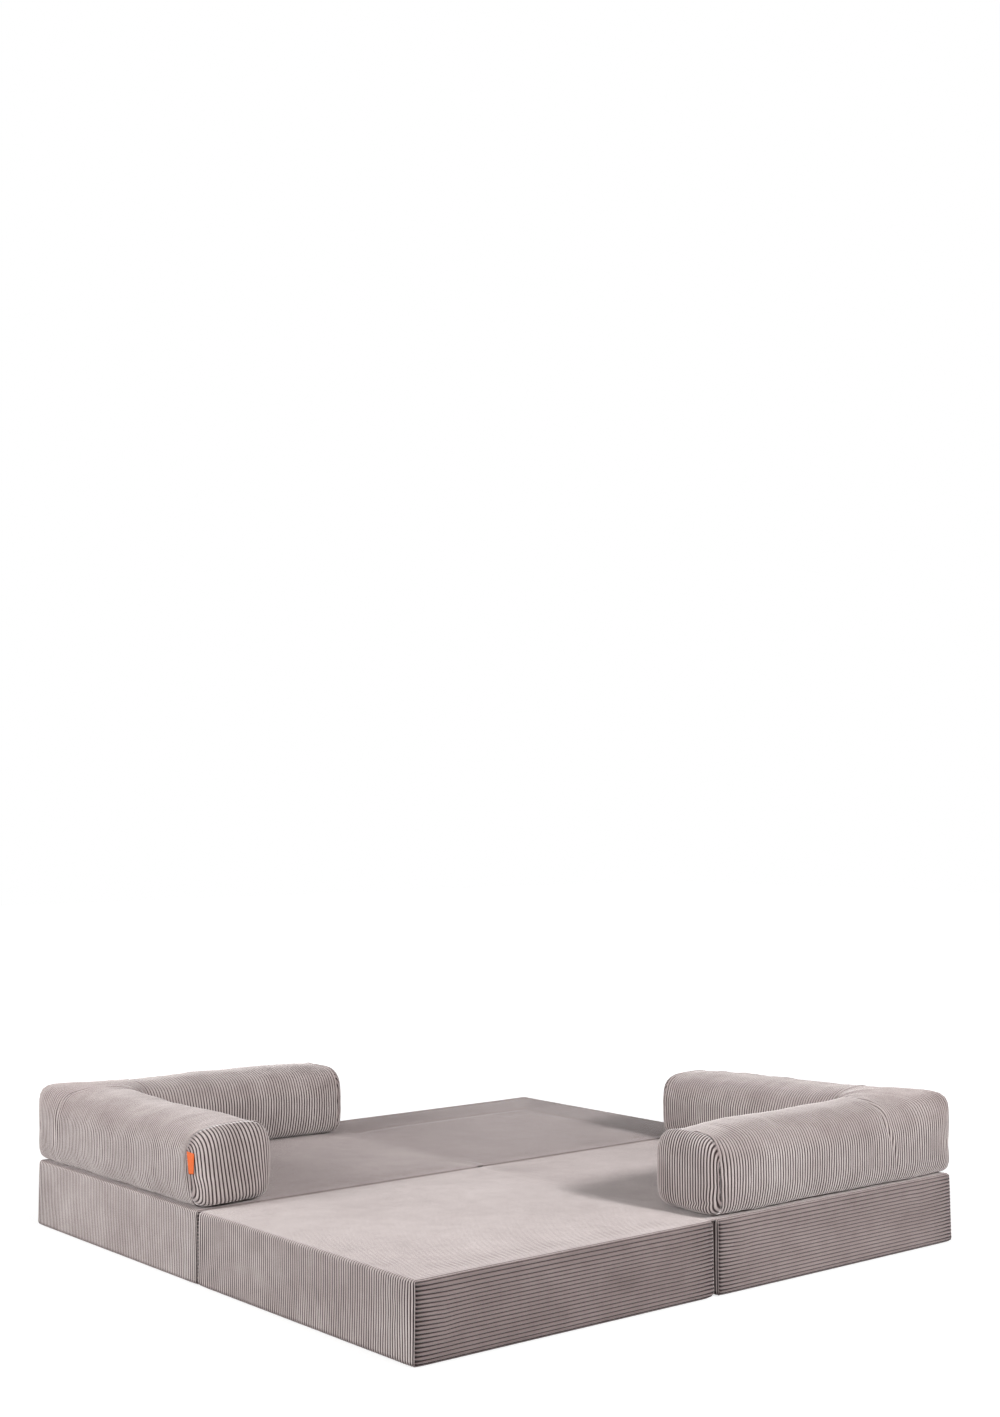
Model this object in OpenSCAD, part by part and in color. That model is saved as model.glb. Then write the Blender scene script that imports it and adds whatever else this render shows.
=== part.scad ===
// Corduroy floor sofa opened out flat as a square bed.
// Two alike units lie side by side, the rear one turned half a turn. Each unit is a
// two-pad folding mattress with an L-shaped bolster on the outer edges of one pad.
// Millimetres, +Z up, origin under the middle of the bed on the floor.
// The pads fold about x = 0 and the units meet at y = 0.

/* [Pads] */
// Half the side of the whole bed, which is one pad and its share of the gaps
pad_side = 750; // [600:10:900]
// Height of a pad along its top edges
pad_height = 150; // [130:5:200]
// Rise of a pad's top between its edges
pad_crown = 4; // [1:0.5:6]
// How far a pad's sides draw in between their corners
pad_draw_in = 3; // [0:0.5:5]
// Radius of a pad's upright corners
pad_corner_radius = 14; // [13:1:24]
// Radius of a pad's top edges
pad_edge_radius = 12; // [8:1:13]
// Radius of a pad's bottom edges
pad_foot_radius = 10; // [6:1:13]
// Band round a pad's top over which it rises to its crown
pad_crown_band = 200; // [120:10:260]

/* [Gaps] */
// Gap between two folding pads at their top edges
fold_gap = 8; // [4:0.5:14]
// Gap between the two units
unit_gap = 0.6; // [0.6:0.1:4]
// Gap left between soft pieces that lie against each other
soft_gap = 0.3; // [0.2:0.05:0.6]

/* [Covers] */
// Thickness of the corduroy cover with its wadding
cover_wall = 4; // [3:0.5:6]
// Thickness of the cotton inner liner
liner_wall = 1; // [0.6:0.1:2]
// Thickness of the corduroy strip that runs on across a fold
strip_thickness = 1.5; // [1:0.1:2.5]

/* [Bolsters] */
// Width of a bolster's arms
bolster_width = 175; // [140:5:200]
// Height of a bolster above the pad it rests on
bolster_height = 180; // [140:5:220]
// How far a bolster's outer sides stand in from the bed's sides
bolster_inset = 6; // [2:1:20]
// How far a bolster's ends stand back from the fold line and from the other unit
bolster_end_gap = 5; // [4.5:0.5:20]
// Radius of a bolster's outer corner, seen from above
bolster_corner_radius = 30; // [15:5:60]
// Radius of the crease at a bolster's inner corner
bolster_crease_radius = 4; // [2:1:10]
// Squareness of a bolster's upper half, where 2 is round
bolster_top_squareness = 3; // [2.6:0.1:4]
// Squareness of a bolster's lower half
bolster_base_squareness = 4; // [3.4:0.1:6]
// Depth of the flat on which a bolster rests
bolster_flat = 1.5; // [0.5:0.25:3]
// Thickness of a bolster's padded base panel
bolster_base_wall = 8; // [7:0.5:12]
// How far an end cap swells out past its seam
cap_bulge = 8; // [3:1:14]
// Thickness of an end cap at its seam
cap_wall = 3; // [2:0.5:5]
// Radius of the long edges of a bolster's arms under its cover
filling_edge_radius = 61; // [56:1:64]
// Length over which an arm draws in to its end cap's seam
cap_draw_length = 34; // [20:2:60]
// Share of its width that an arm keeps at its end cap's seam
cap_draw = 0.96; // [0.92:0.01:0.99]

/* [Zips] */
// Width of the zip tape
tape_width = 24; // [16:1:30]
// Thickness of the zip tape
tape_thickness = 1; // [0.6:0.1:1.4]
// Width of the closed zip chain
chain_width = 5; // [3:0.5:7]
// Height of the zip chain above its tape
chain_height = 1.6; // [1:0.1:2]
// Length of the slider
slider_length = 12; // [8:1:16]
// Width of the slider
slider_width = 10; // [9:0.5:13]
// Thickness of the slider's sides at its nose
slider_cheek = 1; // [0.6:0.1:1.5]
// Share of the slider's length at which it is widest
slider_shoulder = 0.7; // [0.3:0.05:0.8]
// Thickness of the slider's plate
slider_plate = 1; // [0.6:0.1:1.2]
// Running gap between the slider and the zip
slider_gap = 0.3; // [0.2:0.05:0.4]
// Height of a pad's zip above the floor
pad_zip_height = 45; // [30:1:90]
// Length of a pad's zip
pad_zip_length = 600; // [300:10:650]
// Length of a bolster's zip
bolster_zip_length = 460; // [200:10:480]

/* [Label] */
// Height of the plain label tab
label_height = 50; // [30:1:70]
// Length of the label tab outside its seam
label_length = 20; // [12:1:30]
// Thickness of the folded label tab
label_thickness = 1.2; // [0.8:0.1:2]
// Depth of the label tab that is sewn into the seam
label_root = 4; // [3:0.5:6]
// Angle between the label tab and the flat of the end cap's seam
label_angle = 24; // [20:1:40]

/* [Hidden] */
PADS = ["front_left", "front_right", "rear_left", "rear_right"];
UNITS = ["front", "rear"];
BOLSTERS = ["right", "left"];
// The quarter that carries each unit's bolster
UNIT_QUARTERS = ["front_right", "rear_left"];
PAD_PIECES = ["cover", "liner", "foam", "zip_tape", "zip_chain", "zip_slider"];
BOLSTER_PIECES = [
  "cover", "side_cap", "fold_cap", "liner", "filling", "zip_tape", "zip_chain", "zip_slider", "label"
];

$fn = 64;
// Amount by which a cutting shape runs past the surface it cuts
past = 1;
corduroy = [0.72, 0.67, 0.65];
cotton = [0.93, 0.92, 0.88];
foam_yellow = [0.93, 0.87, 0.66];
tape_grey = [0.45, 0.41, 0.40];
nickel = [0.75, 0.75, 0.76];
orange = [0.92, 0.36, 0.10];

// The right-hand rear quarter is drawn, and each pad is a mirror or a turn of it
pad_low = [fold_gap / 2, unit_gap / 2];
pad_size = [pad_side, pad_side] - pad_low;
pad_middle = (pad_low + [pad_side, pad_side]) / 2;
// Distance from a pad's outline to the space inside its cover
cavity_inset = pad_draw_in + cover_wall;
bolster_z = pad_height + pad_crown + soft_gap;
bolster_outer = pad_side - bolster_inset;
bolster_inner = bolster_outer - bolster_width;
bolster_turn = bolster_inner - bolster_crease_radius;
// Where the tube of a bolster's arm stops and its end cap starts
arm_start = bolster_end_gap + cap_bulge + cap_wall;
// Depth from the back of a zip's tape to the mouth of its recess
zip_depth = tape_thickness + chain_height + slider_plate + 2 * slider_gap;
// Cover that stays behind a zip's tape
zip_skin = 1;

// Points around a pad's outline, inset and drawn in, in the order of its four corners.
corner_steps = 3;
side_steps = 6;
function outline_corner(corner, step, inset) =
  let (
    angle = 90 * (corner + step / corner_steps),
    radius = max(pad_corner_radius - inset, 1),
    reach = pad_size / 2 - [inset + radius, inset + radius],
    centre = [corner == 0 || corner == 3 ? reach.x : -reach.x, corner < 2 ? reach.y : -reach.y]
  )
  centre + radius * [cos(angle), sin(angle)];
function outline_side(corner, step, inset, draw) =
  let (
    start = outline_corner(corner, corner_steps, inset),
    finish = outline_corner((corner + 1) % 4, 0, inset),
    along = step / side_steps,
    angle = 90 * (corner + 1)
  )
  start + (finish - start) * along - draw * sin(180 * along) * [cos(angle), sin(angle)];
function outline(inset, draw) = [
  for (corner = [0:3]) each concat(
    [for (step = [0:corner_steps]) outline_corner(corner, step, inset)],
    [for (step = [1:side_steps - 1]) outline_side(corner, step, inset, draw)]
  )
];
function raise(points, z) = [for (p = points) [p.x + pad_middle.x, p.y + pad_middle.y, z]];
function shrink(points, share) = [for (p = points) p * share];

// Rings of points from a pad's flat underside up over its edges to its crown.
foot_angles = [0, 45, 90];
edge_angles = [0, 30, 60, 90];
crown_shares = [0.3, 0.65, 1];
function share_of_crown(share) = 1 - pow(1 - share, 2);
pad_rings = concat(
  [for (a = foot_angles) raise(
    outline(pad_foot_radius * (1 - sin(a)), pad_draw_in / 4),
    pad_foot_radius * (1 - cos(a))
  )],
  [raise(outline(0, pad_draw_in), pad_height / 2)],
  [for (a = edge_angles) raise(
    outline(pad_edge_radius * (1 - cos(a)), pad_draw_in / 4),
    pad_height - pad_edge_radius * (1 - sin(a))
  )],
  [for (share = crown_shares) raise(
    shrink(outline(pad_edge_radius, pad_draw_in / 4), 1 - 2 * share * pad_crown_band / pad_side),
    pad_height + pad_crown * share_of_crown(share)
  )]
);

// Solid through a stack of closed rings, its two ends closed by fans of triangles.
module skin(rings) {
  count = len(rings[0]);
  last = (len(rings) - 1) * count;
  faces = concat(
    [for (r = [0:len(rings) - 2]) for (i = [0:count - 1]) each
      let (a = r * count + i, b = r * count + (i + 1) % count)
      [[a, a + count, b], [b, a + count, b + count]]
    ],
    [for (i = [1:count - 2]) [0, i, i + 1]],
    [for (i = [1:count - 2]) [last, last + i + 1, last + i]]
  );
  polyhedron(points = [for (ring = rings) each ring], faces = faces, convexity = 4);
}

// Upright block with round corners, standing in from a pad's outline.
module pad_block(inset, bottom, top) {
  radius = max(pad_corner_radius - inset, 1);
  size = pad_size - 2 * [inset, inset];
  translate([pad_low.x + inset, pad_low.y + inset, bottom])
    linear_extrude(top - bottom)
      rounded_rectangle(size, radius);
}

module rounded_rectangle(size, radius) {
  translate([radius, 0])
    square([size.x - 2 * radius, size.y]);
  translate([0, radius])
    square([size.x, size.y - 2 * radius]);
  for (x = [radius, size.x - radius], y = [radius, size.y - radius])
    translate([x, y])
      circle(radius);
}

// Pieces of a pad, in the right-hand rear quarter.
module pad_cover() {
  color(corduroy)
    difference() {
      skin(pad_rings);
      pad_block(cavity_inset, cover_wall, pad_height - cover_wall);
      place_pad_zip()
        zip_recess(pad_zip_length);
    }
}

module pad_liner() {
  inset = cavity_inset + soft_gap;
  low = cover_wall + soft_gap;
  color(cotton)
    difference() {
      pad_block(inset, low, pad_height - low);
      pad_block(inset + liner_wall, low + liner_wall, pad_height - low - liner_wall);
    }
}

module pad_foam() {
  low = cover_wall + liner_wall + 2 * soft_gap;
  color(foam_yellow)
    pad_block(cavity_inset + liner_wall + 2 * soft_gap, low, pad_height - low);
}

// A zip runs along +Y from its start, with its tape's back on z = 0 and its slider up.
module place_pad_zip() {
  seat = pad_low.x + cavity_inset - zip_skin;
  translate([seat, (pad_side - pad_zip_length) / 2, pad_zip_height])
    rotate([0, -90, 0])
      children();
}

module zip_recess(length) {
  translate([-tape_width / 2 - soft_gap, -soft_gap, 0])
    cube([tape_width + 2 * soft_gap, length + 2 * soft_gap, zip_depth + cavity_inset]);
}

module zip_tape(length) {
  color(tape_grey)
    translate([-tape_width / 2, 0, 0])
      cube([tape_width, length, tape_thickness]);
}

module zip_chain(length) {
  color(tape_grey)
    translate([-chain_width / 2, 0, tape_thickness])
      cube([chain_width, length, chain_height]);
}

// The slider bridges the chain. It has no pull tab, as on covers that children can't open.
module zip_slider(length) {
  channel = chain_width + 2 * slider_gap;
  nose = channel + 2 * slider_cheek;
  shoulder = slider_length * slider_shoulder;
  color(nickel)
    translate([0, length - slider_length, 0])
      difference() {
        translate([0, 0, tape_thickness + slider_gap])
          linear_extrude(chain_height + slider_plate)
            polygon([
              [-nose / 2, 0], [nose / 2, 0], [slider_width / 2, shoulder],
              [nose / 2, slider_length], [-nose / 2, slider_length], [-slider_width / 2, shoulder]
            ]);
        translate([-channel / 2, -past, 0])
          cube([channel, slider_length + 2 * past, tape_thickness + chain_height + slider_gap]);
      }
}

// Corduroy that runs on across a fold and is the hinge of its two pads.
module fold_strip() {
  drop = pad_edge_radius - strip_thickness;
  reach = fold_gap / 2 + pad_edge_radius - sqrt(pow(pad_edge_radius, 2) - pow(drop, 2));
  end_inset = pad_edge_radius;
  color(corduroy)
    translate([-reach, pad_low.y + end_inset, pad_height - strip_thickness])
      cube([2 * reach, pad_size.y - 2 * end_inset, strip_thickness]);
}

// Half-round, half-square outline of a bolster's arm: across the arm from its inner side,
// and up from its flat base.
section_count = 28;
function power(value, squareness) = sign(value) * pow(abs(value), 2 / squareness);
function section_point(i) =
  let (
    angle = 360 * i / section_count,
    squareness = sin(angle) < 0 ? bolster_base_squareness : bolster_top_squareness,
    half = [bolster_width / 2, sin(angle) < 0 ? bolster_height / 2 + bolster_flat : bolster_height / 2]
  )
  [
    bolster_width / 2 + half.x * power(cos(angle), squareness),
    max(bolster_height / 2 + half.y * power(sin(angle), squareness), 0)
  ];
function section(share) = [
  for (i = [0:section_count - 1])
    let (middle = [bolster_width, bolster_height] / 2)
    middle + (section_point(i) - middle) * share
];

// Distance from the turning point at the inner crease to the rounded outer corner.
function turn_reach(angle) =
  let (
    side = bolster_crease_radius + bolster_width,
    centre = side - bolster_corner_radius,
    across = centre * (cos(angle) + sin(angle)),
    edge = side / max(cos(angle), sin(angle)),
    round = across + sqrt(max(pow(bolster_corner_radius, 2) - 2 * centre * centre + across * across, 0)),
    inside = min(cos(angle), sin(angle)) * edge <= centre
  )
  inside ? edge : round;
function turned_ring(angle) = [
  for (p = section(1))
    let (
      stretch = (turn_reach(angle) - bolster_crease_radius) / bolster_width,
      out = bolster_crease_radius + p.x * stretch
    )
    [bolster_turn + out * cos(angle), bolster_turn + out * sin(angle), bolster_z + p.y]
];
function side_arm_ring(y, share) = [for (p = section(share)) [bolster_inner + p.x, y, bolster_z + p.y]];
function fold_arm_ring(x, share) = [for (p = section(share)) [x, bolster_inner + p.x, bolster_z + p.y]];
turn_angles = [90, 67.5, 54, 45, 36, 22.5, 0];
// Distance from an arm's end and the share of its width there
arm_rings = [[0, cap_draw], [cap_draw_length / 3, (2 + cap_draw) / 3], [cap_draw_length, 1]];
bolster_rings = concat(
  [for (r = arm_rings) fold_arm_ring(arm_start + r[0], r[1])],
  [fold_arm_ring((arm_start + bolster_turn) / 2, 1)],
  [for (angle = turn_angles) turned_ring(angle)],
  [side_arm_ring((arm_start + bolster_turn) / 2, 1)],
  [for (i = [len(arm_rings) - 1:-1:0]) side_arm_ring(arm_start + arm_rings[i][0], arm_rings[i][1])]
);

// Inside of the arm that runs along Y, in by a wall, from its start to the corner's mitre.
module mitred_arm(wall, floor, start) {
  draw = bolster_width * (1 - cap_draw) / 2;
  size = [
    bolster_width * cap_draw - 2 * wall,
    bolster_height * cap_draw - wall - floor
  ];
  intersection() {
    translate([bolster_inner + draw + wall, bolster_outer, bolster_z + floor])
      rotate([90, 0, 0])
        linear_extrude(bolster_outer - start)
          rounded_rectangle(size, filling_edge_radius - wall);
    linear_extrude(2 * pad_side)
      polygon([[0, 0], [pad_side, 0], [pad_side, pad_side]]);
  }
}

// L-shaped inside of a bolster: two mitred arms with a rounded outer corner.
module l_block(wall, floor, start) {
  finish = bolster_outer - wall - bolster_width * (1 - cap_draw) / 2;
  spare = 2 * bolster_corner_radius;
  intersection() {
    union() {
      mitred_arm(wall, floor, start);
      mirror([1, -1, 0])
        mitred_arm(wall, floor, start);
    }
    translate([-spare, -spare, 0])
      linear_extrude(2 * pad_side)
        rounded_rectangle([finish + spare, finish + spare], bolster_corner_radius);
  }
}

// Shares of an end cap's width at its rings, from its seam to its middle
cap_shares = [1, 0.88, 0.65, 0.3];

// Pieces of a bolster, in the right-hand rear quarter.
module bolster_cover() {
  color(corduroy)
    difference() {
      skin(bolster_rings);
      l_block(cover_wall, bolster_base_wall, arm_start - past);
      place_bolster_zip()
        zip_recess(bolster_zip_length);
    }
}

// Swelling panel that closes the end of the arm that runs along Y.
module bolster_side_cap() {
  color(corduroy)
    skin(concat(
      [side_arm_ring(arm_start, cap_draw)],
      [for (share = cap_shares)
        side_arm_ring(arm_start - cap_wall - cap_bulge * (1 - pow(share, 3)), cap_draw * share)]
    ));
}

module bolster_fold_cap() {
  mirror([1, -1, 0])
    bolster_side_cap();
}

module bolster_liner() {
  wall = cover_wall + soft_gap;
  floor = bolster_base_wall + soft_gap;
  start = arm_start + soft_gap;
  color(cotton)
    difference() {
      l_block(wall, floor, start);
      l_block(wall + liner_wall, floor + liner_wall, start + liner_wall);
    }
}

module bolster_filling() {
  inset = liner_wall + 2 * soft_gap;
  color("white")
    l_block(cover_wall + inset, bolster_base_wall + inset, arm_start + inset);
}

// A bolster's zip lies in the flat underneath the arm that runs along Y.
module place_bolster_zip() {
  start = (arm_start + bolster_inner - bolster_zip_length) / 2;
  translate([bolster_inner + bolster_width / 2, start, bolster_z + zip_depth])
    rotate([0, 180, 0])
      children();
}

// Plain folded tab, sewn into the seam at the outer side of the end cap.
module bolster_label() {
  seam = bolster_inner + bolster_width * (1 + cap_draw) / 2;
  color(orange)
    translate([
      seam - label_root - label_thickness,
      arm_start - cap_wall,
      bolster_z + (bolster_height - label_height) / 2
    ])
      rotate([0, 0, 180 + label_angle])
        translate([-label_root, -label_thickness / 2, 0])
          cube([label_length + label_root, label_thickness, label_height]);
}

// Moves a piece of the right-hand rear quarter to the quarter of the bed that is named.
module quarter(name) {
  if (name == "rear_right") children();
  if (name == "rear_left") mirror([1, 0, 0]) children();
  if (name == "front_right") mirror([0, 1, 0]) children();
  if (name == "front_left") rotate(180) children();
}

for (pad = PADS)
  quarter(pad) {
    pad_cover();
    pad_liner();
    pad_foam();
    place_pad_zip() zip_tape(pad_zip_length);
    place_pad_zip() zip_chain(pad_zip_length);
    place_pad_zip() zip_slider(pad_zip_length);
  }

for (i = [0, 1])
  quarter(UNIT_QUARTERS[i])
    fold_strip();

for (i = [0, 1])
  quarter(UNIT_QUARTERS[i]) {
    side = BOLSTERS[i];
    bolster_cover();
    bolster_side_cap();
    bolster_fold_cap();
    bolster_liner();
    bolster_filling();
    place_bolster_zip() zip_tape(bolster_zip_length);
    place_bolster_zip() zip_chain(bolster_zip_length);
    place_bolster_zip() zip_slider(bolster_zip_length);
    bolster_label();
  }
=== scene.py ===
import math

import bmesh
import bpy
import numpy as np
from mathutils import Matrix, Vector


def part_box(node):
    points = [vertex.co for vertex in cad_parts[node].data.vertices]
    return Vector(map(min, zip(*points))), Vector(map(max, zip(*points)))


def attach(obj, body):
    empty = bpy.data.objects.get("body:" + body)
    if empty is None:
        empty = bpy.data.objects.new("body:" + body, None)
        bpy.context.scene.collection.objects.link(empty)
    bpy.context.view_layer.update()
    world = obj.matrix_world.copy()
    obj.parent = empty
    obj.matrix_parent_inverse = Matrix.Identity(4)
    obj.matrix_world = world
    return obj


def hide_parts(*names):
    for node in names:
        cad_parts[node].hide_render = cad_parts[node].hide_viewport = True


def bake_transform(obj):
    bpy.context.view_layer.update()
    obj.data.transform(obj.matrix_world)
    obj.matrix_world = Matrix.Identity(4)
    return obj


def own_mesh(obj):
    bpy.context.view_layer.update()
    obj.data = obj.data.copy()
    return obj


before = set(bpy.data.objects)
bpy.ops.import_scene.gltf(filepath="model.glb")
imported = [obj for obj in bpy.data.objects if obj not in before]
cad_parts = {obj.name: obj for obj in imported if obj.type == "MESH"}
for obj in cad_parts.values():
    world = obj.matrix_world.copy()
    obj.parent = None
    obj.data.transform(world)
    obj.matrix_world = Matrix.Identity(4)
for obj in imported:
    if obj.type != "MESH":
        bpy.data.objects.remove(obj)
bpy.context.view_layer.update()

# Foam blocks: the load-bearing core of each pad, one block of cut upholstery foam with knocked-off
# edges. Nothing holds it but its liner and the cover round it.
PADS = {
    "front_left": (-1, -1),
    "front_right": (1, -1),
    "rear_left": (-1, 1),
    "rear_right": (1, 1),
}
FOAM_EDGE = 0.006
FOAM_YELLOW = (0.78, 0.66, 0.36, 1)


def set_inputs(tree, node, inputs):
    """Puts a number, a colour or another node's socket on each input named."""
    for name, value in inputs.items():
        if isinstance(value, bpy.types.NodeSocket):
            tree.links.new(value, node.inputs[name])
        else:
            node.inputs[name].default_value = value


def add_node(tree, kind, inputs=None, **settings):
    """Adds a shader node with its settings and inputs."""
    node = tree.nodes.new(kind)
    for name, value in settings.items():
        setattr(node, name, value)
    set_inputs(tree, node, inputs or {})
    return node


def new_material(name):
    material = bpy.data.materials.new(name)
    material.use_nodes = True
    tree = material.node_tree
    return material, tree, tree.nodes["Principled BSDF"]


def darker(colour, share):
    return tuple(share * c for c in colour[:3]) + (1,)


def colour_ramp(tree, factor, *stops):
    """A colour ramp's colour, through (place, colour) stops."""
    node = add_node(tree, "ShaderNodeValToRGB", {"Fac": factor})
    ramp = node.color_ramp
    ramp.elements[0].position, ramp.elements[0].color = stops[0]
    ramp.elements[1].position, ramp.elements[1].color = stops[-1]
    for place, colour in stops[1:-1]:
        ramp.elements.new(place).color = colour
    return node.outputs["Color"]


def relief(tree, height, strength, distance):
    """The normals of a fine relief."""
    inputs = {"Height": height, "Strength": strength, "Distance": distance}
    return add_node(tree, "ShaderNodeBump", inputs).outputs["Normal"]


def grained_material(name, colour, dim, span, roughness, texture, values, bump=None, inputs=None):
    """A finish whose tone follows a fine grain, from a dim share of its colour to all of it.

    The span is the grain's values there. A pair for the roughness makes it follow the grain too,
    and a strength and a distance for the bump give the grain relief.
    """
    material, tree, shader = new_material(name)
    place = add_node(tree, "ShaderNodeTexCoord").outputs["Object"]
    settings = {"bands_direction": "DIAGONAL"} if texture == "Wave" else {}
    grain = add_node(tree, f"ShaderNodeTex{texture}", {"Vector": place, **values}, **settings)
    grain = grain.outputs["Distance" if texture == "Voronoi" else "Fac"]
    if isinstance(roughness, tuple):
        ends = {"Value": grain, "To Min": roughness[0], "To Max": roughness[1]}
        roughness = add_node(tree, "ShaderNodeMapRange", ends).outputs["Result"]
    tone = colour_ramp(tree, grain, (span[0], darker(colour, dim)), (span[1], colour))
    set_inputs(tree, shader, {"Base Color": tone, "Roughness": roughness, **(inputs or {})})
    if bump:
        set_inputs(tree, shader, {"Normal": relief(tree, grain, *bump)})
    return material


def softened_copy(node, name, width, segments=2):
    """A copy of a CAD node's solid as its own piece, its sharp edges taken off."""
    piece = bpy.data.objects.new(name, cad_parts[node].data.copy())
    bpy.context.scene.collection.objects.link(piece)
    bpy.ops.object.select_all(action="DESELECT")
    bpy.context.view_layer.objects.active = piece
    piece.select_set(True)
    bpy.ops.object.mode_set(mode="EDIT")
    bpy.ops.mesh.select_all(action="SELECT")
    bpy.ops.mesh.remove_doubles(threshold=0.00001)
    bpy.ops.mesh.dissolve_limited(angle_limit=math.radians(2))
    bpy.ops.object.mode_set(mode="OBJECT")
    bevel = piece.modifiers.new("edges", "BEVEL")
    bevel.width, bevel.segments, bevel.angle_limit = width, segments, math.radians(40)
    bpy.ops.object.modifier_apply(modifier=bevel.name)
    bpy.ops.object.shade_smooth_by_angle(angle=math.radians(50))
    piece.data.materials.clear()
    piece.select_set(False)
    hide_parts(node)
    return piece


cells = {"Scale": 900.0}
foam_finish = grained_material(
    "cut_foam", FOAM_YELLOW, 0.75, (0.0, 0.6), 0.95, "Voronoi", cells, bump=(0.4, 0.001)
)
for pad in PADS:
    foam = softened_copy(f"{pad}_foam", f"{pad}_foam_block", FOAM_EDGE, segments=3)
    foam.data.materials.append(foam_finish)
    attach(foam, f"{pad}_pad")

# Inner liners: thin white cotton bags sewn round each foam block, so that the corduroy comes off
# for washing. They follow the foam closely, with a little slack at their seams.
COTTON_WHITE = (0.82, 0.80, 0.76, 1)
LINER_EDGE = 0.004


def maths(tree, operation, *values):
    """The result of one sum on sockets and numbers."""
    node = add_node(tree, "ShaderNodeMath", dict(enumerate(values)), operation=operation)
    return node.outputs[0]


def cotton_material():
    """Plain weave with soft creases."""
    creases = {"Scale": 9.0, "Detail": 4.0}
    material = grained_material(
        "liner_cotton", COTTON_WHITE, 0.85, (0.3, 0.7), 0.9, "Noise", creases
    )
    tree = material.node_tree
    place = add_node(tree, "ShaderNodeTexCoord").outputs["Object"]
    threads = {"Vector": place, "Scale": 320.0, "Distortion": 0.4}
    x, y, z = (
        add_node(tree, "ShaderNodeTexWave", threads, bands_direction=axis).outputs["Fac"]
        for axis in "XYZ"
    )
    weave = maths(tree, "ADD", maths(tree, "MULTIPLY", x, y), z)
    bump = relief(tree, weave, 0.25, 0.0005)
    set_inputs(tree, tree.nodes["Principled BSDF"], {"Normal": bump})
    return material


cotton_finish = cotton_material()
for pad in PADS:
    liner = softened_copy(f"{pad}_liner", f"{pad}_liner_bag", LINER_EDGE)
    liner.data.materials.append(cotton_finish)
    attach(liner, f"{pad}_pad")

# Pad covers: wide-wale corduroy, its wales running over the top, down two of the walls and under
# the pad, sewn to two end panels at the upright corners. The foam fills it tightly.
PAD_LOW = np.array([0.004, 0.0003, 0.0])
PAD_HIGH = np.array([0.750, 0.750, 0.150])
# Rounding of the edges: level reach, then height at the top and at the foot
PLAN_ROUND = 0.008
TOP_ROUND = 0.009
FOOT_ROUND = 0.010
# Crown of the top, the band along its edges where it rises, and how far the walls are drawn in
PAD_CROWN = 0.003
CROWN_BAND = 0.200
DRAW_IN = 0.0015
WALE = 0.0075
WALE_DEPTH = 0.0028
# Places across one wale where its round is drawn, from valley to valley
ACROSS_WALE = (0.0, 0.1, 0.27, 0.5, 0.73, 0.9)
# How far in from the upright corners the end panels are sewn on
SEAM_PLACE = 0.0010
# Zip's recess in the wall at the fold: half its width, its depth, its height and its ends
ZIP_HALF = 0.0123
ZIP_RECESS = 0.0063
ZIP_MIDDLE = 0.045
ZIP_ENDS = (0.0745, 0.6755)
# Cells across the coarse cloth that swells, and how far it may
SWELL_CELLS = 24
PAD_SWELL = 0.003
PILE_LIGHT = (0.392, 0.327, 0.317, 1)
# Near-black painted shade at the middle of each wale's valley
VALLEY_PAINTED_SHADE = (0.035, 0.019, 0.019, 1)


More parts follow.
